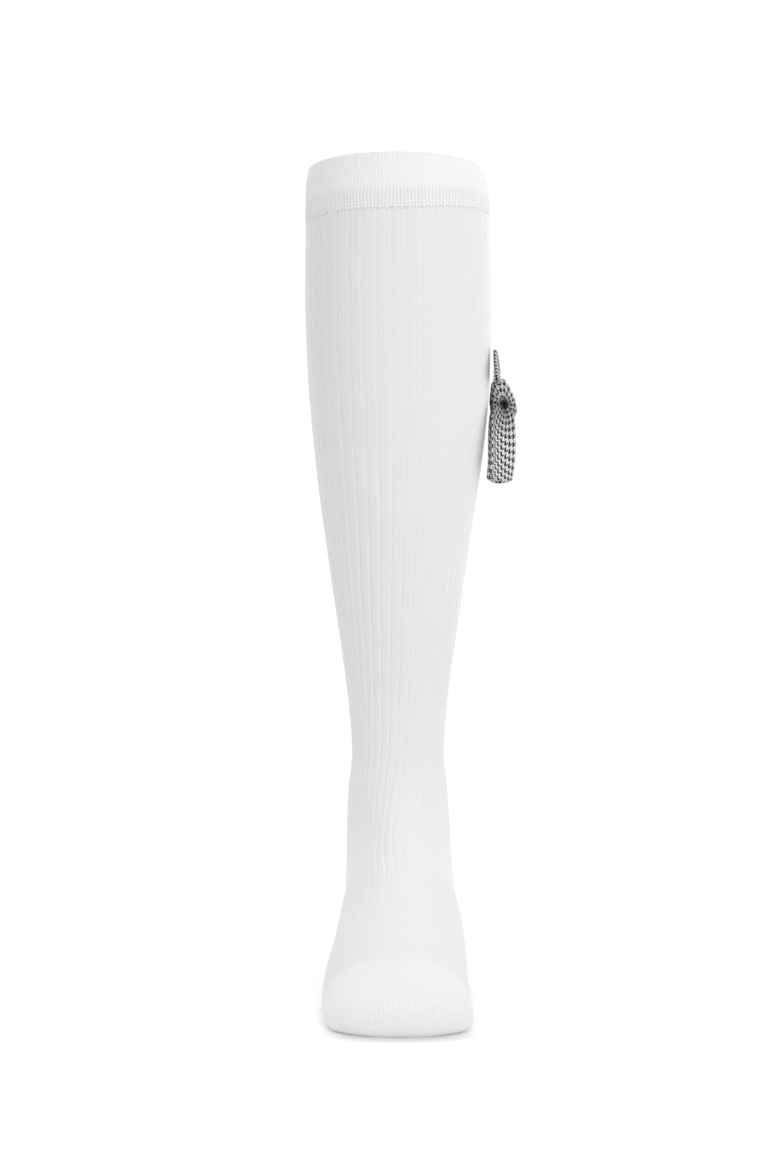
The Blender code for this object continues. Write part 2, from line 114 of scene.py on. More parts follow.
FOOT = (
    # ahead, up, sole, rise, width, side, belly, square_top, square_sole, sweep
    (0.229, 1.000, 0.217, -0.020, 0.840, 0.014, 0.40, 2.1, 2.8, 0.00),
    (0.295, 0.910, 0.357, -0.020, 0.885, 0.014, 0.35, 2.1, 2.8, 0.00),
    (0.380, 0.805, 0.496, -0.020, 0.925, 0.006, 0.28, 2.0, 2.7, 0.00),
    (0.480, 0.700, 0.627, -0.020, 0.955, -0.010, 0.22, 2.0, 2.6, 0.00),
    (0.589, 0.595, 0.739, -0.020, 0.972, -0.018, 0.18, 2.0, 2.6, 0.01),
    (0.698, 0.496, 0.813, -0.020, 0.975, -0.016, 0.18, 2.0, 2.6, 0.01),
    (0.783, 0.421, 0.865, -0.020, 0.968, -0.011, 0.21, 2.1, 2.7, 0.02),
    (0.868, 0.353, 0.916, -0.020, 0.947, -0.005, 0.25, 2.2, 2.9, 0.03),
    (0.934, 0.290, 0.953, -0.020, 0.912, 0.000, 0.30, 2.4, 3.0, 0.05),
    (0.984, 0.225, 0.977, -0.016, 0.860, 0.004, 0.38, 2.5, 2.8, 0.07),
    (1.014, 0.170, 0.993, -0.002, 0.760, 0.004, 0.50, 2.6, 2.6, 0.08),
)
ANKLE_LINE = len(LEG) + 1
HEEL_LINE = len(LEG) + len(TURN) - 1
TOE_LINE = HEEL_LINE + 7
TIP = HEEL_LINE + len(FOOT)
print("rows in the tables", len(LEG), len(TURN), len(FOOT))


# %% The smooth curve through a table
def smooth_rows(table, place):
    """The table's row at a place between its rows: a Catmull-Rom curve, which passes through every
    row and leaves each one in the direction from the row before it to the row after it."""
    table = np.asarray(table, float)
    place = np.clip(np.atleast_1d(place), 0, len(table) - 1)
    row = np.minimum(place.astype(int), len(table) - 2)
    step = (place - row)[:, None]
    before = table[np.maximum(row - 1, 0)]
    start = table[row]
    end = table[row + 1]
    after = table[np.minimum(row + 2, len(table) - 1)]
    return start + 0.5 * step * (
        end - before
        + step * (2 * before - 5 * start + 4 * end - after + step * (3 * (start - end) + after - before))
    )


# %% One row for each section
def section_rows():
    """One row per section: front y and z, back y and z, half width, side, belly, roundness of the
    front and of the back, and sweep. The shares in the tables times the named sizes."""
    toe_ahead = FOOT_LENGTH - HEEL_BEHIND
    shin = ANKLE_DEPTH / 2
    height, width, depth, back, side = np.array(LEG).T
    half_depth = (ANKLE_DEPTH + depth * (CALF_DEPTH - ANKLE_DEPTH)) / 2
    middle = back * CALF_DEPTH
    level = ANKLE_HEIGHT + height * (SOCK_HEIGHT - ANKLE_HEIGHT)
    half_width = (ANKLE_WIDTH + width * (CALF_WIDTH - ANKLE_WIDTH)) / 2
    same = np.ones(len(height))
    leg = np.stack([middle - half_depth, level, middle + half_depth, level, half_width,
                    side * CALF_WIDTH, 0.5 * same, 2.1 * same, 2.1 * same, 0 * same], axis=1)
    ahead, up, out, rise, width, belly, square, side = np.array(TURN).T
    same = np.ones(len(ahead))
    turn = np.stack([-shin - ahead * (toe_ahead - shin), INSTEP_HEIGHT + up * (ANKLE_HEIGHT - INSTEP_HEIGHT),
                     shin + out * (HEEL_BEHIND - shin), rise * ANKLE_HEIGHT, width * HEEL_WIDTH / 2,
                     side * HEEL_WIDTH, belly, 2.1 * same, square, 0 * same], axis=1)
    ahead, up, sole, rise, width, side, belly, square_top, square_sole, sweep = np.array(FOOT).T
    foot = np.stack([-shin - ahead * (toe_ahead - shin), up * INSTEP_HEIGHT,
                     HEEL_BEHIND - sole * FOOT_LENGTH, rise * INSTEP_HEIGHT, width * BALL_WIDTH / 2,
                     side * BALL_WIDTH, belly, square_top, square_sole, sweep * BALL_WIDTH], axis=1)
    return np.concatenate([leg, turn, foot])


SECTIONS = section_rows()
print("sections", len(SECTIONS), "widest half width in mm", round(1000 * SECTIONS[:, 4].max(), 1))

# %% [markdown]
# ## The skin of the sock
# Each cross-section is a plane curve. Its front half and its back half are halves of ellipses that
# may be squared off a little, and they meet at the widest line. The whole sock is then a function
# of two numbers: the place along the run of sections, and the share of the way round the girth.
# Working in shares of the girth keeps the columns of stitches the same width all round, as knitting
# does, and that is why this way was chosen over one that turns by equal angles.

# %% The skin as a function
CURVE_POINTS = 721
STEP = 0.004


def unit(vectors):
    return vectors / np.linalg.norm(vectors, axis=-1, keepdims=True)


def skin(places, shares):
    """Points of the skin, one row for each place. On each section, x is the half width times the
    sine of a turn and y, z run from the back point to the front point with its cosine, both to a
    power of 2 over the roundness. Points are then spaced by their share of the curve's length."""
    rows = smooth_rows(SECTIONS, places)[:, :, None]
    turn = np.linspace(0, 2 * np.pi, CURVE_POINTS)[None]
    front = np.cos(turn) >= 0
    power = 2 / np.where(front, rows[:, 7], rows[:, 8])
    reach = np.where(front, 1 - rows[:, 6], rows[:, 6])
    along = rows[:, 6] + np.sign(np.cos(turn)) * reach * np.abs(np.cos(turn)) ** power
    across = np.sign(np.sin(turn)) * np.abs(np.sin(turn)) ** power
    x = rows[:, 5] + rows[:, 4] * across
    y = rows[:, 2] + along * (rows[:, 0] - rows[:, 2]) + rows[:, 9] * across**2
    z = rows[:, 3] + along * (rows[:, 1] - rows[:, 3])
    curve = np.stack([x, y, z], axis=2)
    run = np.cumsum(np.linalg.norm(np.diff(curve, axis=1), axis=2), axis=1)
    run = np.concatenate([np.zeros((len(rows), 1)), run], axis=1)
    lane = 2.0 * np.arange(len(rows))[:, None]
    known = (run / run[:, -1:] + lane).ravel()
    wanted = np.mod(shares, 1) + lane
    return np.stack([np.interp(wanted, known, curve[:, :, axis].ravel()) for axis in range(3)], axis=2)


def skin_and_ways(places, shares):
    """Points, the way down and the way out. Each way is the difference of two near points."""
    down = skin(places + STEP, shares) - skin(np.maximum(places - STEP, 0), shares)
    around = skin(places, shares + STEP / 4) - skin(places, shares - STEP / 4)
    return skin(places, shares), unit(down), unit(np.cross(down, around))


# %% Heights, fades and girths
def place_at_height(height):
    """The place on the leg whose section lies at this height above the floor."""
    places = np.linspace(0, len(LEG) - 1, CURVE_POINTS)
    return float(np.interp(-height, -smooth_rows(SECTIONS, places)[:, 1], places))


def fade(value, start, end):
    """0 before start and 1 after end, with a smooth change between them."""
    share = np.clip((value - start) / (end - start), 0, 1)
    return share * share * (3 - 2 * share)


def girth(places):
    """Length round the section at each place: the sum of short chords."""
    points = skin(places, np.linspace(0, 1, 91)[None, :-1])
    return np.linalg.norm(points - np.roll(points, 1, axis=1), axis=2).sum(axis=1)[:, None]


# %% How the columns drift
def drifted(places, shares):
    """The columns run straight down the calf and drift to the inner side over ankle and instep.
    Where the heel takes up girth, they keep their width at the front and widen at the sides: a sine
    of the way from the front to the side, times the share by which the girth has grown."""
    front = 0.5 + 0.5 * np.cos(2 * np.pi * shares)
    drift = np.clip((places - place_at_height(ANKLE_HEIGHT * 2)) / (TOE_LINE - len(LEG)), 0, 1)
    drift = drift * (1 - fade(places, TOE_LINE - 3, TOE_LINE))
    side = np.clip(np.mod(shares + 0.5, 1) - 0.5, -0.25, 0.25)
    grown = np.maximum(1 - ANKLE_GIRTH / girth(places[:, 0]), 0) * fade(places, ANKLE_LINE - 2, ANKLE_LINE)
    crowd = grown * np.sin(4 * np.pi * side) / (4 * np.pi)
    return shares - drift * front * RIB_DRIFT / (math.pi * BALL_WIDTH) - crowd


def on_floor(points, thickness):
    """The points, none lower than this above the floor, in the part's frame."""
    resting = points.copy()
    resting[..., 2] = np.maximum(resting[..., 2], thickness) - WALL
    return resting


ANKLE_GIRTH = float(girth(np.array([ANKLE_LINE - 1.0]))[0, 0])
SEAM = place_at_height(SOCK_HEIGHT - CUFF_HEIGHT)
print("the cuff ends at place", round(SEAM, 2), "of", TIP)
print("girth of the ankle in mm", round(1000 * ANKLE_GIRTH, 1))

# %% [markdown]
# ## Ribs and columns of stitches
# A rib knit of three plain stitches and one purl stitch makes flat ribs with thin grooves between
# them. Each column of stitches, a wale, is also a small ridge of its own. The sock has 168 wales,
# so 42 ribs. Both are modelled as relief, because they catch the light along their whole length.
# Where the knit is stretched, as on the calf, the grooves open and lie flatter.

# %% Relief of the knit
WALES = 168
WALE_STITCHES = 4
PER_WALE = 4
COLUMNS = WALES * PER_WALE
RIB_DEPTH = 0.00062
WALE_DEPTH = 0.00012
GROOVE_POWER = 6


def wale_relief(wale, ribbed, ridged=1.0):
    """Depth under the crests. The groove of a rib is a raised cosine, to a power that makes it
    narrow, over four wales. Each wale is the size of a cosine: round crests and sharp valleys."""
    groove = (0.5 + 0.5 * np.cos(2 * np.pi * (wale - 2) / WALE_STITCHES)) ** GROOVE_POWER
    ridge = 1 - np.abs(np.cos(np.pi * wale))
    return RIB_DEPTH * ribbed * groove + WALE_DEPTH * ridged * ridge


print("ribs", WALES // WALE_STITCHES, "columns of points", COLUMNS)

# %% [markdown]
# ## From a grid to a wall of cloth
# A zone is two grids of points, the skin and the lining, of the same size. Faces join the points of
# each grid, and a rim joins the grids wherever a face has no neighbour, so the cloth is a closed
# wall with a real edge. The normals come from the grids themselves. A grid may have spare rows at
# its ends, which help to find the normals and are then left out, so that two zones that meet are
# shaded as one. Each corner also gets a pair of numbers, its wale and its course, that the
# materials read to place the stitches.

# %% From arrays to a mesh object
def fill(name, points, faces, numbers, material, normals):
    """A mesh object from arrays: points, four-cornered faces, and for each corner its stitch
    numbers and its normal."""
    mesh = bpy.data.meshes.new(name)
    mesh.from_pydata(points.tolist(), [], faces.tolist())
    layer = mesh.uv_layers.new(name="stitches")
    layer.data.foreach_set("uv", numbers.astype(np.float32).ravel())
    mesh.materials.append(material)
    mesh.shade_smooth()
    mesh.normals_split_custom_set(normals.reshape(-1, 3).astype(np.float32))
    piece = bpy.data.objects.new(name, mesh)
    bpy.context.scene.collection.objects.link(piece)
    return piece


def grid_normals(grid, closed):
    """The way out at each point: across the way down and the way round, from the points on both
    sides of it."""
    down = np.gradient(grid, axis=0)
    around = np.roll(grid, -1, axis=1) - np.roll(grid, 1, axis=1) if closed else np.gradient(grid, axis=1)
    normal = np.cross(down, around)
    return normal / np.maximum(np.linalg.norm(normal, axis=2, keepdims=True), 1e-12)


# %% A closed wall between two grids
def wall(name, outer, inner, wale, course, material, closed=True, worked=None, spare=(0, 0)):
    """A wall of cloth between two grids. Faces run down and then round, so that they face out. The
    array wale has one more column than a closed grid, because the count goes on past the start."""
    rows, columns = len(outer) - sum(spare), outer.shape[1]
    kept = slice(spare[0], spare[0] + rows)
    out = grid_normals(outer, closed)[kept].reshape(-1, 3)
    back = -grid_normals(inner, closed)[kept].reshape(-1, 3)
    outer, inner, wale, course = outer[kept], inner[kept], wale[kept], course[kept]
    cells = columns if closed else columns - 1
    worked = np.ones((rows - 1, cells), bool) if worked is None else worked
    row, column = np.nonzero(worked)
    row = row[:, None] + np.array([0, 1, 1, 0])
    column = column[:, None] + np.array([0, 0, 1, 1])
    corner = row * columns + column % columns
    count = rows * columns
    edges = np.stack([corner, np.roll(corner, -1, axis=1)], axis=2).reshape(-1, 2)
    key = edges.min(axis=1) * count + edges.max(axis=1)
    _, place, uses = np.unique(key, return_index=True, return_counts=True)
    edge_wale = np.stack([wale[row, column], np.roll(wale[row, column], -1, axis=1)], axis=2).reshape(-1, 2)
    rim = edges[place[uses == 1]]
    rim_wale = edge_wale[place[uses == 1]][:, [1, 0, 0, 1]]
    rim_faces = np.stack([rim[:, 1], rim[:, 0], rim[:, 0] + count, rim[:, 1] + count], axis=1)
    points = np.concatenate([outer.reshape(-1, 3), inner.reshape(-1, 3)])
    rim_out = unit(np.cross(points[rim_faces[:, 2]] - points[rim_faces[:, 0]],
                            points[rim_faces[:, 3]] - points[rim_faces[:, 1]]) + 1e-15)
    numbers = np.stack([wale[row, column], course[row, column % columns]], axis=2)
    rim_numbers = np.stack([rim_wale, course.reshape(-1)[rim_faces % count]], axis=2)
    faces = np.concatenate([corner, corner[:, ::-1] + count, rim_faces])
    used, place = np.unique(faces, return_inverse=True)
    return fill(name, points[used], place.reshape(faces.shape),
                np.concatenate([numbers, numbers[:, ::-1], rim_numbers]), material,
                np.concatenate([out[corner], back[corner[:, ::-1]], np.repeat(rim_out[:, None], 4, axis=1)]))


# %% A zone of the knit
def courses(points, height, first=0.0):
    """How many courses each point lies below the first row: length along its column over a height."""
    step = np.linalg.norm(np.diff(points, axis=0), axis=2)
    return first + np.concatenate([np.zeros((1, points.shape[1])), np.cumsum(step, axis=0)]) / height


def knit_zone(places, shares, relief, thickness=WALL):
    """The skin and the lining of a zone, its wale numbers and its points without relief."""
    points, down, out = skin_and_ways(places[:, 0], drifted(places, shares[None]))
    wale = np.append(shares, 2 * shares[-1] - shares[-2]) * WALES
    return (on_floor(points - relief[..., None] * out, 0), on_floor(points - thickness * out, thickness),
            np.tile(wale, (len(places), 1)), points)


print("every zone's wall is", 1000 * WALL, "mm thick")

# %% [markdown]
# ## Yarn and its stitches as shader groups
# Cotton yarn is matt, and its loose fuzz gives a soft sheen at grazing angles. The knits also glow a little
# where the surface turns away from view: painted light, an emission at the edges. One stitch is a V: two legs
# that lean towards each other. The stitch group turns the wale and course numbers into the height of these
# legs. A second group gives the slight unevenness of cotton. Both are used by all three knits, each with its
# own values.

# %% Helpers for node trees
def socket(group, name, kind, way, value=None):
    made = group.interface.new_socket(name=name, in_out=way, socket_type=kind)
    if value is not None:
        made.default_value = value
    return made


def node(tree, kind, **settings):
    made = tree.nodes.new(kind)
    for name, value in settings.items():
        setattr(made, name, value)
    return made


def calculate(tree, operation, *values):
    """A Math node. Each value is a number or another node's output."""
    made = node(tree, "ShaderNodeMath", operation=operation)
    for number, value in enumerate(values):
        if isinstance(value, bpy.types.NodeSocket):
            tree.links.new(value, made.inputs[number])
        else:
            made.inputs[number].default_value = value
    return made.outputs[0]


def rest_of(tree, share):
    """One less a share: the part that it leaves."""
    return calculate(tree, "SUBTRACT", 1.0, share)


def product(tree, *values):
    """All the values multiplied together."""
    result = values[0]
    for value in values[1:]:
        result = calculate(tree, "MULTIPLY", result, value)
    return result


def smooth_share(tree, value, start, end):
    """0 before start and 1 after end, with a smooth change between them."""
    made = node(tree, "ShaderNodeMapRange", interpolation_type="SMOOTHSTEP")
    made.inputs["From Min"].default_value = start
    made.inputs["From Max"].default_value = end
    tree.links.new(value, made.inputs["Value"])
    return made.outputs[0]


def scale_colour(tree, colour, amount, target):
    """A colour times an amount, sent to a socket. The colour is three numbers or an output."""
    made = node(tree, "ShaderNodeVectorMath", operation="SCALE")
    if isinstance(colour, bpy.types.NodeSocket):
        tree.links.new(colour, made.inputs[0])
    else:
        made.inputs[0].default_value = colour
    tree.links.new(amount, made.inputs["Scale"])
    tree.links.new(made.outputs[0], target)


print("node helpers", [helper.__name__ for helper in (calculate, rest_of, product, smooth_share,
                                                      scale_colour)])


# %% The stitch group
def make_stitch_group():
    """Height of the V stitches. Across a wale, a leg is a sine bump in each half. Along it, the leg
    is a parabola that repeats each course, shifted by how far it leans."""
    group = bpy.data.node_groups.new("v_stitches", "ShaderNodeTree")
    socket(group, "Numbers", "NodeSocketVector", "INPUT")
    socket(group, "Lean", "NodeSocketFloat", "INPUT", 0.9)
    socket(group, "Height", "NodeSocketFloat", "OUTPUT")
    start = node(group, "NodeGroupInput")
    end = node(group, "NodeGroupOutput")
    split = node(group, "ShaderNodeSeparateXYZ")
    group.links.new(start.outputs["Numbers"], split.inputs[0])
    off_centre = calculate(group, "ABSOLUTE", calculate(group, "SUBTRACT", calculate(
        group, "FRACT", calculate(group, "ADD", split.outputs["X"], 0.5)), 0.5))
    lean = calculate(group, "MULTIPLY", off_centre, start.outputs["Lean"])
    turn = calculate(group, "FRACT", calculate(group, "ADD", split.outputs["Y"], lean))
    centred = calculate(group, "SUBTRACT", calculate(group, "MULTIPLY", turn, 2.0), 1.0)
    leg = rest_of(group, calculate(group, "POWER", calculate(group, "ABSOLUTE", centred), 3.0))
    across = calculate(group, "SINE", product(group, off_centre, 2 * math.pi))
    group.links.new(product(group, leg, across), end.inputs["Height"])
    return group


V_STITCHES = make_stitch_group()
print("group", V_STITCHES.name, "nodes", len(V_STITCHES.nodes))


# %% The cotton group
def make_cotton_group():
    """Colour of the yarn, uneven by a few per cent in soft patches and in fine flecks."""
    group = bpy.data.node_groups.new("cotton_yarn", "ShaderNodeTree")
    socket(group, "Place", "NodeSocketVector", "INPUT")
    socket(group, "Colour", "NodeSocketColor", "INPUT", (0.8, 0.8, 0.8, 1))
    socket(group, "Uneven", "NodeSocketFloat", "INPUT", 0.03)
    socket(group, "Colour", "NodeSocketColor", "OUTPUT")
    socket(group, "Fleck", "NodeSocketFloat", "OUTPUT")
    start = node(group, "NodeGroupInput")
    end = node(group, "NodeGroupOutput")
    patches = node(group, "ShaderNodeTexNoise")
    patches.inputs["Scale"].default_value = 28.0
    patches.inputs["Detail"].default_value = 2.0
    flecks = node(group, "ShaderNodeTexNoise")
    flecks.inputs["Scale"].default_value = 1400.0
    flecks.inputs["Detail"].default_value = 1.0
    for noise in (patches, flecks):
        group.links.new(start.outputs["Place"], noise.inputs["Vector"])
    both = calculate(group, "ADD", patches.outputs[0], flecks.outputs[0])
    swing = product(group, calculate(group, "SUBTRACT", both, 1.0), start.outputs["Uneven"])
    scale_colour(group, start.outputs["Colour"], calculate(group, "ADD", swing, 1.0), end.inputs["Colour"])
    group.links.new(flecks.outputs[0], end.inputs["Fleck"])
    return group


COTTON = make_cotton_group()
print("group", COTTON.name, "nodes", len(COTTON.nodes))


# %% Knit materials
# Painted light: the knits glow a little at their edges, an emission with no lamp in it.
EDGE_GLOW = 0.32
GLOW_POWER = 4.0
LOW_GLOW = 0.3
LOW_WHITE = (0.852, 0.851, 0.853)
# On the calf the white is darker and warmer: partly the tint of stretched knit, partly painted shade.
STRETCHED_SHADED_WHITE = (0.818, 0.808, 0.804)
CUFF_WHITE = (0.885, 0.884, 0.895)
DOTTED_COURSES = (5.5, 9.0)
DOT_DEPTH = 0.0002


def knit_material(name, colour, uneven, stitch_depth, fleck_depth, edge_glow, low_colour=None,
                  change=(0.0, 1.0), gap_shade=0.0):
    """White cotton knit: matt, with a soft sheen, V stitches and fine flecks in its bump. The cloth's edge
    glows by a power of how far it is turned away: painted light, an emission that stands in for light passed
    on from behind by loose fuzz at the edge. Where a low colour is given, the colour changes to it below a
    height, over a smooth range: on the calf a darker, warmer white, partly the tint of stretched knit and
    partly painted shade. Where gaps are asked for, the knit shows small gaps between its wales in the first
    courses, each a power of two sines: they are sunk in the bump, and their colour is darkened as painted
    shade."""
    material = bpy.data.materials.new(name)
    material.use_nodes = True
    tree = material.node_tree
    shader = tree.nodes["Principled BSDF"]
    shader.inputs["Roughness"].default_value = 0.92
    shader.inputs["Specular IOR Level"].default_value = 0.15
    shader.inputs["Sheen Weight"].default_value = 0.20
    shader.inputs["Sheen Roughness"].default_value = 0.35
    shader.inputs["Emission Strength"].default_value = 1.0
    # Painted light: emission at the cloth's edge, by a power of how far it is turned away.
    turned = node(tree, "ShaderNodeLayerWeight")
    turned.inputs["Blend"].default_value = 0.5
    glow_at_edge = product(tree, calculate(tree, "POWER", turned.outputs["Facing"], GLOW_POWER), edge_glow)
    place = node(tree, "ShaderNodeTexCoord")
    numbers = node(tree, "ShaderNodeUVMap", uv_map="stitches")
    stitches = node(tree, "ShaderNodeGroup", node_tree=V_STITCHES)
    tree.links.new(numbers.outputs[0], stitches.inputs["Numbers"])
    cotton = node(tree, "ShaderNodeGroup", node_tree=COTTON)
    cotton.inputs["Colour"].default_value = (*colour, 1)
    cotton.inputs["Uneven"].default_value = uneven
    if low_colour:
        # Painted shade on the calf: the colour is darker above a height and lighter below it.
        split = node(tree, "ShaderNodeSeparateXYZ")
        tree.links.new(place.outputs["Object"], split.inputs[0])
        calf_tint_and_shade = smooth_share(tree, split.outputs["Z"], *change)
        mix = node(tree, "ShaderNodeMix", data_type="RGBA")
        mix.inputs["A"].default_value = (*low_colour, 1)
        mix.inputs["B"].default_value = (*colour, 1)
        tree.links.new(calf_tint_and_shade, mix.inputs["Factor"])
        tree.links.new(mix.outputs["Result"], cotton.inputs["Colour"])
        # The painted edge glow is weaker below the calf.
        glow_at_edge = product(tree, glow_at_edge, calculate(tree, "ADD", product(tree, calf_tint_and_shade, 1 - LOW_GLOW), LOW_GLOW))
    tree.links.new(glow_at_edge, shader.inputs["Emission Color"])
    tree.links.new(place.outputs["Object"], cotton.inputs["Place"])
    tree.links.new(cotton.outputs["Colour"], shader.inputs["Base Color"])
    height = calculate(tree, "ADD", product(tree, stitches.outputs["Height"], stitch_depth),
                       product(tree, cotton.outputs["Fleck"], fleck_depth))
    if gap_shade:
        counts = node(tree, "ShaderNodeSeparateXYZ")
        tree.links.new(numbers.outputs[0], counts.inputs[0])
        gap = rest_of(tree, smooth_share(tree, counts.outputs["Y"], *DOTTED_COURSES))
        for axis, sharp in (("X", 3.0), ("Y", 2.0)):
            wave = calculate(tree, "SINE", product(tree, counts.outputs[axis], math.pi))
            gap = product(tree, gap, calculate(tree, "POWER", calculate(tree, "ABSOLUTE", wave), sharp))
        # Painted shade in the gaps: their colour is darkened where shade would fall in them.
        left_by_gap_shade = rest_of(tree, product(tree, gap, gap_shade))
        scale_colour(tree, cotton.outputs["Colour"], left_by_gap_shade, shader.inputs["Base Color"])
        height = calculate(tree, "SUBTRACT", height, product(tree, gap, DOT_DEPTH))
    bump = node(tree, "ShaderNodeBump")
    bump.inputs["Strength"].default_value = 1.0
    bump.inputs["Distance"].default_value = 1.0
    tree.links.new(height, bump.inputs["Height"])
    tree.links.new(bump.outputs[0], shader.inputs["Normal"])
    return material


# %% The three knits
RIBBED_KNIT = knit_material("ribbed_knit", STRETCHED_SHADED_WHITE, uneven=0.03, stitch_depth=0.00008, fleck_depth=0.00004,
                            edge_glow=EDGE_GLOW, low_colour=LOW_WHITE, change=(0.08, 0.17))
CUFF_KNIT = knit_material("cuff_knit", CUFF_WHITE, uneven=0.02, stitch_depth=0.00008, fleck_depth=0.00003,
                          edge_glow=0.7 * EDGE_GLOW, gap_shade=0.17)
PLAIN_KNIT = knit_material("plain_knit", LOW_WHITE, uneven=0.02, stitch_depth=0.00005, fleck_depth=0.00003,
                           edge_glow=LOW_GLOW * EDGE_GLOW)
print("materials", [material.name for material in bpy.data.materials])

# %% [markdown]
# ## The leg
# The long ribbed tube from the cuff to the ankle. A real one is knitted round and round, with no
# seam. Its rows here lie a few millimetres apart, since little changes along a rib, and its columns
# lie four to each wale, since a rib's relief needs them. Its top runs up inside the cuff's fold.

# %% Leg
COURSE = 0.00125
LEG_ROWS = 64
INSIDE_CUFF = 0.008
STRETCHED_HEIGHT = 0.30
RELAXED_HEIGHT = 0.135
SHARES = np.arange(COLUMNS) / COLUMNS
WALE_NUMBERS = (SHARES * WALES)[None]
UNDER_CUFF = place_at_height(SOCK_HEIGHT - CUFF_HEIGHT + INSIDE_CUFF)
leg_step = (ANKLE_LINE - UNDER_CUFF) / LEG_ROWS
leg_places = (UNDER_CUFF + leg_step * np.arange(-1, LEG_ROWS + 2))[:, None]
relaxed = fade(leg_places, place_at_height(STRETCHED_HEIGHT), place_at_height(RELAXED_HEIGHT))
ribbed = 0.30 + 0.70 * relaxed
ridged = 1 - 0.7 * relaxed
outer, inner, wale, points = knit_zone(leg_places, SHARES, wale_relief(WALE_NUMBERS, ribbed, ridged))
leg_courses = courses(points, COURSE)
leg = wall("sock_leg", outer, inner, wale, leg_courses, RIBBED_KNIT, spare=(1, 1))
print("leg faces", len(leg.data.polygons))

# %% [markdown]
# ## The foot and the heel
# The foot goes on from the leg: ribbed on the instep, plain on the sole. The heel is a plain pocket
# that is knitted in at the back, so the foot's grid leaves out the cells that the heel fills. Both
# read the same skin, so they meet without a gap, along the slanted line that real heels show.

# %% Foot
HEEL_FIRST = 10 * WALE_STITCHES / WALES
HEEL_LINE_DEPTH = 0.00025
HEEL_LINE_WALES = 0.8
HEEL_ROWS = 40
FOOT_ROWS = 34
heel_from = round(HEEL_FIRST * COLUMNS)
heel_places = np.linspace(ANKLE_LINE, HEEL_LINE, HEEL_ROWS)
toe_step = (TOE_LINE - HEEL_LINE) / FOOT_ROWS
foot_places = np.concatenate([[ANKLE_LINE - leg_step], heel_places,
                              HEEL_LINE + toe_step * np.arange(1, FOOT_ROWS + 2)])[:, None]
from_front = np.minimum(SHARES, 1 - SHARES)[None]
on_top = fade(0.25 - 0.05 * fade(foot_places, HEEL_LINE, TOE_LINE) - from_front, 0.0, 0.03)
before_toe = 1 - fade(foot_places, HEEL_LINE + 1.5, HEEL_LINE + 5.0)
heel_line = np.exp(-((from_front - HEEL_FIRST) * WALES / HEEL_LINE_WALES) ** 2)
beside_heel = heel_line * (foot_places < HEEL_LINE + 0.1)
on_instep = 1 - 0.45 * fade(foot_places, ANKLE_LINE, HEEL_LINE)
relief = wale_relief(WALE_NUMBERS, on_top * before_toe * on_instep, 0.3) + HEEL_LINE_DEPTH * beside_heel
outer, inner, wale, points = knit_zone(foot_places, SHARES, relief)
foot_courses = courses(points, COURSE, leg_courses[-3])
row, column = np.mgrid[0:len(foot_places) - 3, 0:COLUMNS]
worked = (row >= HEEL_ROWS - 1) | (column < heel_from) | (column >= COLUMNS - heel_from)
foot = wall("sock_foot", outer, inner, wale, foot_courses, RIBBED_KNIT, worked=worked, spare=(1, 1))
print("foot faces", len(foot.data.polygons))

# %% Heel
heel_shares = SHARES[heel_from:COLUMNS - heel_from + 1]
from_edge = np.minimum(heel_shares, 1 - heel_shares) - HEEL_FIRST
beside_foot = np.exp(-(from_edge * WALES / HEEL_LINE_WALES) ** 2)
relief = wale_relief(heel_shares[None] * WALES, 0.0, 0.3) + HEEL_LINE_DEPTH * beside_foot[None]
relief = np.tile(relief, (HEEL_ROWS, 1))
outer, inner, wale, points = knit_zone(heel_places[:, None], heel_shares, relief)
heel = wall("sock_heel", outer, inner, wale[:, :-1], courses(points, COURSE), PLAIN_KNIT, closed=False)
print("heel faces", len(heel.data.polygons))

# %% [markdown]
# ## The toe
# A plain closed end. The top and the sole are linked by a seam across the toes. So the last ring of
# the skin is carried on in a few steps to that seam, where each point of the top meets the point of
# the sole under it. Near the seam the wales crowd together and show as a fan of fine lines.

# %% Toe
TOE_BULGE = 0.34
TOE_ROWS = 30
CLOSING_STEPS = 7
FAN_DEPTH = 0.00030
FAN_WALES = 3
FAN_MIDDLE = 0.012
toe_places = np.concatenate([[TOE_LINE - toe_step], np.linspace(TOE_LINE, TIP, TOE_ROWS)])[:, None]
across_toes = np.abs((SHARES - FAN_MIDDLE + 0.5) % 1 - 0.5)[None]
fan = fade(toe_places, TIP - 1.6, TIP - 0.4) * (1 - fade(across_toes, 0.09, 0.15))
fan_lines = FAN_DEPTH * fan * (0.5 - 0.5 * np.cos(2 * np.pi * WALE_NUMBERS / FAN_WALES)) ** 2
outer, inner, wale, points = knit_zone(toe_places, SHARES, wale_relief(WALE_NUMBERS, 0.0, 0.3) + fan_lines)


# %% Closing the toe
def closed_end(grid, steps, drop):
    """Rings from the grid's last one to the seam, and one spare ring after it. Each point goes to
    the middle between it and the point under it, and ahead by a parabola of their distance."""
    ring = grid[-1]
    number = np.arange(len(ring))
    partner = (len(ring) // 2 - number) % len(ring)
    seam = (ring + ring[partner]) / 2
    apart = np.linalg.norm(ring - seam, axis=1)[None, :, None]
    share = np.linspace(0, 1, steps + 1)[1:, None, None]
    ahead = np.array([0, -1.0, 0]) * (TOE_BULGE * apart * (2 * share - share**2))
    rings = ring + (seam - ring) * share + ahead + np.array([0, drop, 0]) * share
    return np.concatenate([grid, rings, rings[-2][partner][None]])


outer = closed_end(outer, CLOSING_STEPS, 0.0)
inner = closed_end(inner, CLOSING_STEPS, WALL)
wale = np.tile(wale[0], (len(outer), 1))
toe = wall("sock_toe", outer, inner, wale, courses(outer, COURSE), PLAIN_KNIT, spare=(1, 1))
print("toe faces", len(toe.data.polygons))

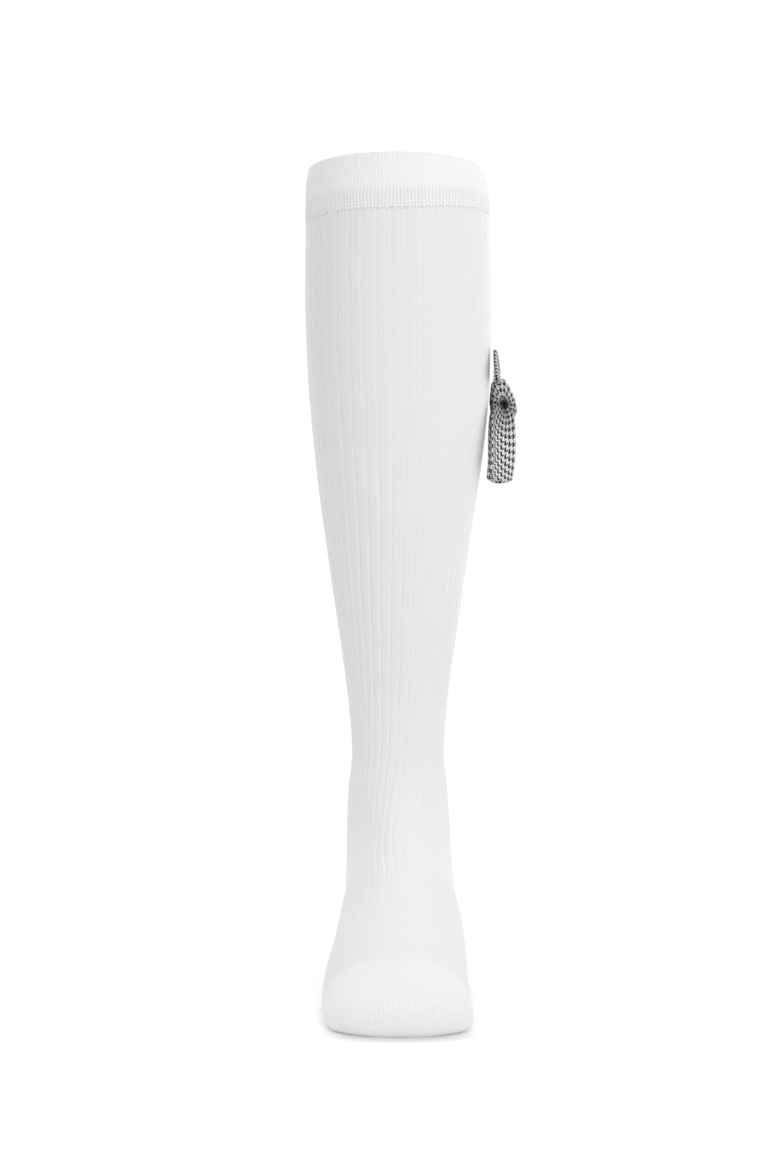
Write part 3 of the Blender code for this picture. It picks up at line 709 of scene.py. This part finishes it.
# %% [markdown]
# ## The cuff
# The top edge is a welt: the knit is folded over and joined on itself, so it is twice as thick, has
# a round top edge and shows a row of joining stitches at its lower edge. Its profile is carried
# round the leg: up the outside, over the fold and down the inside. The photo's rim leans in on the
# bow's side and its lower edge runs a little higher there, so the profile is shifted to match.

# %% Outer and inner skin of the cuff
HEM_DROP = 0.0012
RIM_LEAN = 0.0016
RIM_LEAN_INSIDE = 0.0008
HEM_RISE = 0.0034
TOP_HEIGHT = 0.0075
CUFF_SWAY = 0.22
SWAY_WAVES = 9
SWAY_LEAN = 1.3
CUFF_RIDGE = 1.6
CUFF_PER_WALE = 6
OUTSIDE_ROWS = 44
FOLD_ROWS = 7
cuff_columns = WALES * CUFF_PER_WALE
cuff_shares = np.arange(cuff_columns) / cuff_columns
below_fold = place_at_height(SOCK_HEIGHT - CUFF_WALL / 2)
cuff_places = np.linspace(below_fold, SEAM, OUTSIDE_ROWS)
from_hem = np.linspace(1, 0, OUTSIDE_ROWS)[:, None] * CUFF_HEIGHT
sway = np.sin(2 * np.pi * (SWAY_WAVES * cuff_shares[None] + SWAY_LEAN * from_hem / CUFF_HEIGHT))
sway = sway * fade(from_hem, 0.0, 0.01)
points, down, out = skin_and_ways(cuff_places, cuff_shares[None] + CUFF_SWAY * sway / WALES)
cuff_wales = cuff_shares[None] * WALES
proud = CUFF_PROUD * (0.1 + 0.9 * fade(from_hem, 0.0, 0.003))
outer = points + (proud - wale_relief(cuff_wales, 0.0, CUFF_RIDGE))[..., None] * out
inner = points + (CUFF_PROUD - CUFF_WALL) * out
zigzag = HEM_DROP * np.abs(np.sin(np.pi * cuff_wales / 2))
outer = outer + (zigzag * (1 - fade(from_hem, 0.0, 0.004)))[..., None] * down
print("widest outside of the cuff in mm", round(1000 * np.ptp(outer[..., 0]), 1))

# %% The fold and the lower edge
middle = (outer[0] + inner[0]) / 2
arc = np.linspace(0, np.pi, FOLD_ROWS + 2)[1:-1, None, None]
fold = middle + (outer[0] - middle) * np.cos(arc) - CUFF_WALL / 2 * np.sin(arc) * down[0]
hem = ((outer[-1] + inner[-1]) / 2)[None]
profile = np.concatenate([fold, inner, hem, outer[::-1]])
high = fade(profile[..., 2], SOCK_HEIGHT - TOP_HEIGHT, SOCK_HEIGHT)
to_bow = fade(profile[..., 0], 0.0, CALF_WIDTH / 2)
to_inside = fade(-profile[..., 0], 0.0, CALF_WIDTH / 2)
profile[..., 0] += high * (RIM_LEAN_INSIDE * to_inside - RIM_LEAN * to_bow)
low = 1 - fade(profile[..., 2], SOCK_HEIGHT - CUFF_HEIGHT, SOCK_HEIGHT)
profile[..., 2] += HEM_RISE * low * to_bow
profile[..., 2] -= 0.2 * RIM_LEAN * high * to_bow
profile = on_floor(profile, 0)
print("points round the cuff's profile", len(profile))


# %% Cuff
def ring(name, profile, numbers, material):
    """A closed ring: every profile point goes round, and the last point meets the first. numbers
    has one more row and one more column than the grid, as the counts go on past the start."""
    rows, columns = profile.shape[:2]
    down = np.roll(profile, -1, axis=0) - np.roll(profile, 1, axis=0)
    around = np.roll(profile, -1, axis=1) - np.roll(profile, 1, axis=1)
    out = unit(np.cross(around, down) + 1e-15).reshape(-1, 3)
    row, column = np.mgrid[0:rows, 0:columns]
    row = row.reshape(-1, 1) + np.array([0, 0, 1, 1])
    column = column.reshape(-1, 1) + np.array([0, 1, 1, 0])
    faces = (row % rows) * columns + column % columns
    return fill(name, profile.reshape(-1, 3), faces, numbers[row, column], material, out[faces])


def path_numbers(profile, per_column, height, first_row):
    """Stitch numbers of a closed ring: columns counted round, and courses counted from a row, by
    length along the first profile."""
    length = np.linalg.norm(np.diff(profile[:, 0], axis=0, append=profile[:1, 0]), axis=1)
    length = np.append(0, np.cumsum(length)) / height
    columns = np.arange(profile.shape[1] + 1) / per_column
    return np.stack(np.meshgrid(columns, length - length[first_row]), axis=2)


hem_row = len(profile) - OUTSIDE_ROWS
cuff = ring("sock_cuff", profile, path_numbers(profile, CUFF_PER_WALE, COURSE, hem_row), CUFF_KNIT)
print("cuff faces", len(cuff.data.polygons))

# %% Which solids the knit stands for
for piece, solid, slot in ((cuff, "cuff", "cuff_knit"), (leg, "leg", "ribbed_knit"),
                           (heel, "heel", "plain_knit"), (foot, "foot", "ribbed_knit"),
                           (toe, "toe", "plain_knit")):
    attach(piece, "root")
    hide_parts(solid)

# %% [markdown]
# ## The woven ribbon
# Houndstooth is a 2/2 twill woven from four dark and four light threads in turn, in both
# directions. The pattern group works like the loom. A thread's number says if it is dark, and the
# sum of the two numbers says which thread is on top. Each thread also rounds the surface a little.

# %% The houndstooth group
THREADS = 8
DARK_YARN_EDGE = 0.18


def make_houndstooth_group():
    """Share of light thread and thread height, from check numbers. Counting threads across and
    along, a thread is dark in the first four of eight, and the warp is on top where the sum of the
    two counts is in the first two of four. Dark yarn is thinner, so at its edges, where the sine of
    its round is small, the thread under it shows."""
    group = bpy.data.node_groups.new("houndstooth_weave", "ShaderNodeTree")
    socket(group, "Checks", "NodeSocketVector", "INPUT")
    socket(group, "Dark", "NodeSocketColor", "INPUT", (0.02, 0.02, 0.02, 1))
    socket(group, "Light", "NodeSocketColor", "INPUT", (0.8, 0.8, 0.8, 1))
    socket(group, "Colour", "NodeSocketColor", "OUTPUT")
    socket(group, "Height", "NodeSocketFloat", "OUTPUT")
    start = node(group, "NodeGroupInput")
    end = node(group, "NodeGroupOutput")
    split = node(group, "ShaderNodeSeparateXYZ")
    group.links.new(start.outputs["Checks"], split.inputs[0])
    counts, light, round_ = [], [], []
    for axis in ("X", "Y"):
        count = product(group, calculate(group, "ADD", split.outputs[axis], 64.0), THREADS)
        whole = calculate(group, "FLOOR", count)
        in_check = calculate(group, "MODULO", whole, THREADS)
        counts.append(whole)
        light.append(calculate(group, "GREATER_THAN", in_check, THREADS / 2 - 0.5))
        round_.append(calculate(group, "SINE", product(group, calculate(group, "FRACT", count), math.pi)))
    total = calculate(group, "MODULO", calculate(group, "ADD", counts[0], counts[1]), THREADS / 2)
    warp = calculate(group, "LESS_THAN", total, THREADS / 4 - 0.5)
    weft = rest_of(group, warp)

    def choose(first, second):
        return calculate(group, "ADD", product(group, first, warp), product(group, second, weft))

    bump_height = choose(*round_)
    edge = calculate(group, "LESS_THAN", bump_height, DARK_YARN_EDGE)
    under = product(group, choose(light[1], light[0]), edge)
    mix = node(group, "ShaderNodeMix", data_type="RGBA")
    group.links.new(calculate(group, "MAXIMUM", choose(*light), under), mix.inputs["Factor"])
    group.links.new(start.outputs["Dark"], mix.inputs["A"])
    group.links.new(start.outputs["Light"], mix.inputs["B"])
    group.links.new(mix.outputs["Result"], end.inputs["Colour"])
    group.links.new(bump_height, end.inputs["Height"])
    return group


HOUNDSTOOTH = make_houndstooth_group()
print("group", HOUNDSTOOTH.name, "nodes", len(HOUNDSTOOTH.nodes))

# %% [markdown]
# ## The ribbon's material and its shade
# Where a bow is tied, the ribbon is gathered in folds that are too fine and deep to model one by
# one. Little light gets into them. So the weave's colour is darker near the knot's axis, where the
# ribbon is pinched, a little darker round it, and darker on the knot's side towards the leg. All
# three are smooth ranges of the Object coordinates, counted from the pinch.

# %% Ribbon material
PINCH_PLACE = (0.0522, 0.0033, 0.2751)
PINCH_LIGHT = 0.12
LEG_SHADE = 0.75
GATHER_SHADE = 0.34
BLACK_YARN = (0.012, 0.012, 0.013, 1)
WHITE_YARN = (0.90, 0.90, 0.90, 1)
RIBBON = bpy.data.materials.new("houndstooth_ribbon")
RIBBON.use_nodes = True
tree = RIBBON.node_tree
shader = tree.nodes["Principled BSDF"]
shader.inputs["Roughness"].default_value = 0.75
shader.inputs["Specular IOR Level"].default_value = 0.25
checks = node(tree, "ShaderNodeUVMap", uv_map="stitches")
weave = node(tree, "ShaderNodeGroup", node_tree=HOUNDSTOOTH)
weave.inputs["Dark"].default_value = BLACK_YARN
weave.inputs["Light"].default_value = WHITE_YARN
tree.links.new(checks.outputs[0], weave.inputs["Checks"])
bump = node(tree, "ShaderNodeBump")
bump.inputs["Strength"].default_value = 1.0
bump.inputs["Distance"].default_value = 0.00012
tree.links.new(weave.outputs["Height"], bump.inputs["Height"])
tree.links.new(bump.outputs[0], shader.inputs["Normal"])


def ribbon_light(tree):
    """Share of light that reaches the ribbon: what the pinch leaves, by the distance from the
    knot's axis, times what the leg's side leaves, times what the gathers leave."""
    place = node(tree, "ShaderNodeTexCoord")
    from_pinch = node(tree, "ShaderNodeVectorMath", operation="SUBTRACT")
    from_pinch.inputs[1].default_value = PINCH_PLACE
    across_axis = node(tree, "ShaderNodeVectorMath", operation="MULTIPLY")
    across_axis.inputs[1].default_value = (1, 0, 1)
    from_axis = node(tree, "ShaderNodeVectorMath", operation="LENGTH")
    parts = node(tree, "ShaderNodeSeparateXYZ")
    tree.links.new(place.outputs["Object"], from_pinch.inputs[0])
    tree.links.new(from_pinch.outputs[0], across_axis.inputs[0])
    tree.links.new(across_axis.outputs[0], from_axis.inputs[0])
    tree.links.new(from_pinch.outputs[0], parts.inputs[0])
    side, height = parts.outputs["X"], parts.outputs["Z"]
    opened = smooth_share(tree, from_axis.outputs["Value"], 0.0008, 0.0038)
    gathered = product(tree, smooth_share(tree, height, -0.0190, -0.0040),
                       rest_of(tree, smooth_share(tree, height, -0.0010, 0.0060)))
    by_leg = product(tree, rest_of(tree, smooth_share(tree, side, -0.0068, -0.0046)),
                     smooth_share(tree, height, -0.0070, -0.0030),
                     rest_of(tree, smooth_share(tree, height, 0.0070, 0.0100)))
    return product(tree, calculate(tree, "ADD", product(tree, opened, 1 - PINCH_LIGHT), PINCH_LIGHT),
                   rest_of(tree, product(tree, by_leg, LEG_SHADE)),
                   rest_of(tree, product(tree, gathered, GATHER_SHADE)))


scale_colour(tree, weave.outputs["Colour"], ribbon_light(tree), shader.inputs["Base Color"])
print("ribbon material", RIBBON.name)

# %% [markdown]
# ## The bow
# The bow is tied from one ribbon and sewn to the outer side of the calf. The camera sees it from
# its edge: the front loop stands up as a thin double strip, the knot gathers the ribbon into a
# pinch, and the front tail fans out from the pinch and hangs down. Each piece is a grid through a
# short table, in millimetres from the bow's middle: x away from the leg, y to the back, z up.

# %% Sizes of the bow
MM = 0.001
BOW_MIDDLE = np.array([0.0500, 0.0033, 0.2812])
RIBBON_WALL = 0.0005
RIBBON_CHECKS = 8
CHECK = 0.0031
print("bow's middle in mm", (BOW_MIDDLE / MM).round(1).tolist())


# %% Helpers for the ribbon
def strip(name, middle, along, folds=RIBBON_CHECKS):
    """A ribbon from the grid of its middle surface: a skin and a lining half its thickness away."""
    out = grid_normals(middle, closed=False)
    checks = np.tile(np.linspace(0, folds, middle.shape[1]), (len(middle), 1))
    return wall(name, middle + out * RIBBON_WALL / 2, middle - out * RIBBON_WALL / 2, checks,
                np.broadcast_to(along, middle.shape[:2]), RIBBON, closed=False)


def run_of(line):
    """Length along a line of points, in checks."""
    return np.append(0, np.cumsum(np.linalg.norm(np.diff(line, axis=0), axis=1)))[:, None] / CHECK


print("ribbon of", RIBBON_CHECKS, "checks, one every", CHECK / MM, "mm")

# %% Tails
TAIL = (
    # left x, y, z, middle x, y, z, right x, y, z
    (1.3, -2.0, -4.9, 2.3, -1.6, -6.6, 3.1, -1.2, -5.3),
    (-2.2, -9.0, -6.8, 1.8, -6.5, -11.2, 5.7, -5.0, -8.6),
    (-3.8, -14.5, -9.9, 1.6, -9.6, -16.2, 7.2, -4.8, -13.0),
    (-4.3, -18.6, -18.2, 1.5, -11.0, -24.2, 7.9, -3.2, -23.0),
    (-4.3, -20.4, -26.4, 1.5, -11.6, -32.2, 7.8, -2.4, -32.0),
    (-4.4, -21.0, -33.6, 1.5, -11.8, -38.4, 7.1, -2.2, -38.6),
    (-5.0, -21.2, -40.4, 1.4, -11.9, -44.2, 6.2, -2.2, -43.0),
)
TAIL_ROWS, TAIL_COLUMNS = 90, 65
TAIL_CURL = 13.0
TAIL_SLANT = 2.2
TAIL_DRAW = 1.5
TAIL_FOLDS = 3.5
FOLD_DEPTH = 1.4
FOLD_FADE = 0.18
TAIL_SWAY = 0.15


def make_tail(name, mirror):
    """A tail from a table of its two edges and its middle line. Across it, each row is the parabola
    through its three points. Folds run out from the pinch: a sine across the width that dies away
    down the tail. The checks slant more towards the tail's end, and are drawn up at its left edge
    near the pinch. The rear tail is the front one mirrored behind the bow."""
    rows = smooth_rows(TAIL, np.linspace(0, len(TAIL) - 1, TAIL_ROWS))
    left, middle, right = rows[:, None, 0:3], rows[:, None, 3:6], rows[:, None, 6:9]
    share = np.linspace(0, 1, TAIL_COLUMNS)[None, :, None]
    grid = (left * (2 * share - 1) * (share - 1) + middle * 4 * share * (1 - share)
            + right * share * (2 * share - 1))
    down = np.linspace(0, 1, TAIL_ROWS)[:, None]
    grid[..., 0] -= TAIL_CURL * (share * (1 - share) ** 2)[..., 0] * fade(down, 0.1, 0.5)
    fold = FOLD_DEPTH * np.sin(2 * np.pi * TAIL_FOLDS * share[..., 0]) * np.exp(-down / FOLD_FADE)
    fold = fold * fade(down, 0.0, 0.08)
    sway = TAIL_SWAY * np.sin(2 * np.pi * 1.2 * share[..., 0] + 1.0) * fade(down, 0.3, 1.0)
    grid[..., 1] += fold + sway
    grid[..., 0] += 0.3 * fold
    grid[..., 1] *= mirror
    grid = BOW_MIDDLE + MM * grid
    slant = TAIL_SLANT * (share[..., 0] - 0.5) * fade(down, 0.3, 1.0)
    drawn = TAIL_DRAW * (1 - share[..., 0]) ** 2 * (1 - fade(down, 0.4, 1.0))
    along = run_of(grid[:, TAIL_COLUMNS // 2]) - slant + drawn
    return strip(name, grid if mirror > 0 else grid[:, ::-1], along)


tail_front = make_tail("ribbon_tail_front", 1)
tail_rear = make_tail("ribbon_tail_rear", -1)
print("tail faces", len(tail_front.data.polygons))

# %% Loops
LOOP = (
    # ahead, up, half width, half opening
    (0.0, -1.0, 3.4, 0.4),
    (2.0, 5.5, 2.6, 0.6),
    (5.5, 9.6, 4.6, 0.9),
    (9.5, 11.2, 7.6, 1.2),
    (13.5, 12.2, 9.6, 1.0),
    (16.2, 12.6, 10.2, 0.55),
    (17.2, 12.8, 10.2, 0.2),
    (17.4, 12.9, 10.2, 0.0),
)
LOOP_TILT = math.radians(45)
LOOP_LEAN = {1: 0.10, -1: 0.0}
LOOP_ROWS, LOOP_COLUMNS = 60, 49
LOOP_PLEAT = 0.5
LOOP_WAVE = 0.18
LOOP_TAPER = 0.25
LOOP_NEAR_LEG = 0.8


def make_loop(name, mirror):
    """A loop: out along one layer, round the fold and back along the other. Its line climbs away
    from the knot, its width stands across that line, and pleats gather it near the knot."""
    place = np.concatenate([np.linspace(0, 1, LOOP_ROWS), np.linspace(1, 0, LOOP_ROWS)[1:]])
    rows = smooth_rows(LOOP, place * (len(LOOP) - 1))
    side = np.where(np.arange(len(place)) < LOOP_ROWS, 1.0, -1.0)
    tilt = LOOP_TILT * fade(place, 0.0, 0.75)
    share = np.linspace(-1, 1, LOOP_COLUMNS)[None]
    across = rows[:, 2:3] * share
    pleat = LOOP_PLEAT * np.cos(np.pi * 3 * share) * (1 - fade(rows[:, 2:3], 3.0, 10.0))
    wave = LOOP_WAVE * np.sin(3.0 * share + 4.0 * place[:, None])
    taper = 1 - LOOP_TAPER * fade(share, 0.0, 1.0)
    x = side[:, None] * rows[:, 3:4] * taper + pleat + wave - LOOP_LEAN[mirror] * rows[:, 0:1] - LOOP_NEAR_LEG
    y = rows[:, 0:1] - across * np.sin(tilt)[:, None] * 0.75
    z = rows[:, 1:2] + across * np.cos(tilt)[:, None]
    grid = BOW_MIDDLE + MM * np.stack([x, -mirror * y, z], axis=2)
    return strip(name, grid if mirror > 0 else grid[:, ::-1], run_of(grid[:, LOOP_COLUMNS // 2]))


loop_front = make_loop("ribbon_loop_front", 1)
loop_rear = make_loop("ribbon_loop_rear", -1)
print("loop faces", len(loop_front.data.polygons))

# %% Knot
KNOT = (
    # x, z of the knot's outline, seen from the toes, counter-clockwise from the bottom
    (4.0, -14.6),
    (8.2, -10.4),
    (7.9, -4.8),
    (6.1, 0.3),
    (2.2, 6.4),
    (-3.0, 5.1),
    (-4.1, 0.3),
    (-4.4, -6.1),
    (-2.6, -12.4),
)
PINCH = np.array([2.2, -6.1])
KNOT_HALF = 5.6
KNOT_ROWS, KNOT_COLUMNS, KNOT_CHECKS = 41, 144, 16
KNOT_STRETCH = 1.5
KNOT_PLEATS = 9
PLEAT_DEPTH = 0.16
PLEAT_SIDE = 7.5 / len(KNOT) * 2 * np.pi
PINCH_CLOSED = 0.97


def make_knot():
    """The knot: its outline drawn in to the pinch at both ends of the wrap, by a share that grows
    with a power of the way from the middle, and sunk in there like a funnel. Pleats run out from
    it: a cosine of the turn, deepest on the side of the leg, by a cosine of the turn from there."""
    rows = len(KNOT)
    table = np.array([KNOT[number % rows] for number in range(rows + 3)])
    outline = smooth_rows(table, 1 + np.arange(KNOT_COLUMNS) * rows / KNOT_COLUMNS)[None]
    way = np.linspace(1, -1, KNOT_ROWS)[:, None, None]
    kept = 1 - PINCH_CLOSED * np.abs(way) ** 2.4
    turn = np.arange(KNOT_COLUMNS)[None, :, None] * 2 * np.pi / KNOT_COLUMNS
    deep = PLEAT_DEPTH * (1 + 0.9 * np.cos(turn - PLEAT_SIDE))
    pleat = 1 + deep * np.cos(KNOT_PLEATS * turn + 1.0) * np.abs(way) ** 1.5
    cross = PINCH + (outline - PINCH) * kept * pleat
    y = np.broadcast_to(KNOT_HALF * way * (1 - 1.15 * way**8), cross[..., :1].shape)
    grid = BOW_MIDDLE + MM * np.concatenate([cross[..., :1], y, cross[..., 1:]], axis=2)
    out = grid_normals(grid, closed=True)
    checks = np.tile(np.arange(KNOT_COLUMNS + 1) * KNOT_CHECKS / KNOT_COLUMNS, (KNOT_ROWS, 1))
    return wall("ribbon_knot", grid + out * RIBBON_WALL / 2, grid - out * RIBBON_WALL / 2, checks,
                np.tile(KNOT_STRETCH * run_of(grid[:, 0]), (1, KNOT_COLUMNS)), RIBBON)


knot = make_knot()

# %% Which solids the ribbon stands for
for piece, solid in ((knot, "bow_knot"), (loop_front, "bow_loop_front"), (loop_rear, "bow_loop_rear"),
                     (tail_front, "bow_tail_front"), (tail_rear, "bow_tail_rear")):
    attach(piece, "root")
    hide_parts(solid)
    print(piece.name, "faces", len(piece.data.polygons))

# %% [markdown]
# ## How each piece was cut
# A knit is smaller before it is worn than on the leg, and the table gives it as it comes off the
# needles, slit down the back and laid flat. The ribbon is 22 mm wide, and is as long as its loops
# and tails use up.

# %% Flat sizes of the cloth
FLAT = (
    # piece, flat width, flat length, how it is held, what holds it
    (cuff, 0.200, 0.052, "folded", "sock_leg"),
    (leg, 0.190, 0.260, "stretched", "sock_foot"),
    (heel, 0.100, 0.080, "stretched", "sock_foot"),
    (foot, 0.170, 0.130, "stretched", "sock_toe"),
    (toe, 0.170, 0.030, "stretched", "sock_foot"),
    (knot, 0.022, 0.040, "folded", "sock_leg"),
    (loop_front, 0.022, 0.035, "folded", "ribbon_knot"),
    (loop_rear, 0.022, 0.035, "folded", "ribbon_knot"),
    (tail_front, 0.022, 0.046, "hung", "ribbon_knot"),
    (tail_rear, 0.022, 0.046, "hung", "ribbon_knot"),
)
for piece, width, length, held, holder in FLAT:
    area = 0.5 * sum(face.area for face in piece.data.polygons)
    print(piece.name, "measured share of its flat area", round(area / (width * length), 2))

# %% [markdown]
# ## Studio
# The sock stands on white paper. The paper glows a little, as it does in a brightly lit studio, and
# a little more for the camera, so that it comes out white without more light on the sock.

# %% Floor
FLOOR_HALF = 0.5
PAPER_WHITE = (0.94, 0.94, 0.94)
PAPER_GLOW = 0.046
CAMERA_GLOW = 0.075
floor_mesh = bpy.data.meshes.new("floor")
floor_corners = [(x * FLOOR_HALF, y * FLOOR_HALF, -WALL) for x, y in ((-1, -1), (1, -1), (1, 1), (-1, 1))]
floor_mesh.from_pydata(floor_corners, [], [(0, 1, 2, 3)])
floor = bpy.data.objects.new("floor", floor_mesh)
bpy.context.scene.collection.objects.link(floor)
paper = bpy.data.materials.new("white_paper")
paper.use_nodes = True
tree = paper.node_tree
shader = tree.nodes["Principled BSDF"]
shader.inputs["Roughness"].default_value = 0.9
shader.inputs["Emission Color"].default_value = (1, 1, 1, 1)
seen_by_camera = node(tree, "ShaderNodeLightPath").outputs["Is Camera Ray"]
paper_glow = calculate(tree, "ADD", product(tree, seen_by_camera, CAMERA_GLOW), PAPER_GLOW)
floor_mesh.materials.append(paper)
floor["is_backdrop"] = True
print("floor at", -WALL / MM, "mm")

# %% [markdown]
# ## The shade in front of the toe
# The light comes from all sides, and most of it from above, so the sock casts hardly any shadow,
# only a thin dark line where the toe meets the floor. The paper is darker there for the camera,
# within a rounded outline of the toe and a little beyond it, and only ahead of the foot.

# %% Contact shade
TOE_SHADE = 0.30
SHADE_MIDDLE = (0.001, -0.1180, 0.0)
SHADE_HALF = (0.0315, 0.0430, 1.0)
SHADE_SQUARE = 2.8
SHADE_EDGE = (0.98, 1.34)
SHADE_AHEAD = (0.62, 0.98)


def away_from_toe(tree):
    """How far a point of the floor lies from the toe's middle, as a share of the toe's outline: the
    root of the sum of powers of its two ways. Also its way ahead."""
    place = node(tree, "ShaderNodeTexCoord")
    from_middle = node(tree, "ShaderNodeVectorMath", operation="SUBTRACT")
    from_middle.inputs[1].default_value = SHADE_MIDDLE
    shares = node(tree, "ShaderNodeVectorMath", operation="DIVIDE")
    shares.inputs[1].default_value = SHADE_HALF
    ways = node(tree, "ShaderNodeSeparateXYZ")
    tree.links.new(place.outputs["Object"], from_middle.inputs[0])
    tree.links.new(from_middle.outputs[0], shares.inputs[0])
    tree.links.new(shares.outputs[0], ways.inputs[0])
    powers = [calculate(tree, "POWER", calculate(tree, "ABSOLUTE", ways.outputs[axis]), SHADE_SQUARE)
              for axis in "XY"]
    away = calculate(tree, "POWER", calculate(tree, "ADD", *powers), 1 / SHADE_SQUARE)
    return away, product(tree, ways.outputs["Y"], -1.0)


away, ahead = away_from_toe(tree)
shade = product(tree, smooth_share(tree, ahead, *SHADE_AHEAD),
                rest_of(tree, smooth_share(tree, away, *SHADE_EDGE)),
                product(tree, seen_by_camera, TOE_SHADE))
paper_light = rest_of(tree, shade)
scale_colour(tree, PAPER_WHITE, paper_light, shader.inputs["Base Color"])
tree.links.new(product(tree, paper_glow, paper_light), shader.inputs["Emission Strength"])
print("shade ahead of the toe", TOE_SHADE)

# %% [markdown]
# ## Light
# A tent of white cloth round a product gives light from all sides with soft changes and no hard
# highlight. Here the world stands for the tent: its brightness is a low polynomial of the direction
# that the light comes from. The camera itself sees plain white. Lamps would do as well, but would
# need more of them and give more noise for the same softness.

# %% Light
world = bpy.data.worlds.new("studio")
bpy.context.scene.world = world
world.use_nodes = True
tree = world.node_tree
background = tree.nodes["Background"]
background.inputs["Color"].default_value = (1, 1, 1, 1)
direction = node(tree, "ShaderNodeTexCoord")
split = node(tree, "ShaderNodeSeparateXYZ")
tree.links.new(direction.outputs["Generated"], split.inputs[0])
ways = {name: split.outputs[name] for name in "XYZ"}
SKY = (
    # share of the brightness, and the ways whose product it follows
    (0.980, ""),
    (0.305, "X"),
    (-0.084, "Y"),
    (-0.115, "Z"),
    (-0.496, "XZ"),
    (-0.423, "XX"),
    (0.522, "ZZ"),
)
glow = 0.0
for amount, followed in SKY:
    term = product(tree, amount, *(ways[name] for name in followed))
    glow = calculate(tree, "ADD", glow, term)
BACKDROP = 1.05
light_path = node(tree, "ShaderNodeLightPath")
seen = node(tree, "ShaderNodeMix", data_type="FLOAT")
tree.links.new(light_path.outputs["Is Camera Ray"], seen.inputs[0])
tree.links.new(glow, seen.inputs[2])
seen.inputs[3].default_value = BACKDROP
tree.links.new(seen.outputs[0], background.inputs["Strength"])
print("terms of the light", len(SKY))

# %% [markdown]
# ## Camera
# The photo was taken from about a metre in front of the leg, level with the lower calf and looking
# straight ahead: the cuff's rim curves up and the floor is seen at a low angle. The focal length
# follows from how much larger the near toe looks than the cuff.

# %% Camera
SENSOR = 36.0
IMAGE_HEIGHT = 1170
FOCAL_PIXELS = 2057.0
CAMERA_PLACE = (-0.0039, -1.013, 0.188 - WALL)
camera_data = bpy.data.cameras.new("camera")
camera_data.sensor_fit = "VERTICAL"
camera_data.sensor_height = SENSOR
camera_data.sensor_width = SENSOR
camera_data.lens = SENSOR * FOCAL_PIXELS / IMAGE_HEIGHT
camera = bpy.data.objects.new("camera", camera_data)
camera.location = CAMERA_PLACE
camera.rotation_euler = (math.radians(90), 0, 0)
bpy.context.scene.collection.objects.link(camera)
bpy.context.scene.camera = camera
bpy.context.scene.view_settings.view_transform = "Standard"
print("lens in mm", round(camera_data.lens, 1))

# %% Sizes
low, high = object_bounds()
print("visual box in mm", [round(1000 * (b - a), 1) for a, b in zip(low, high)])
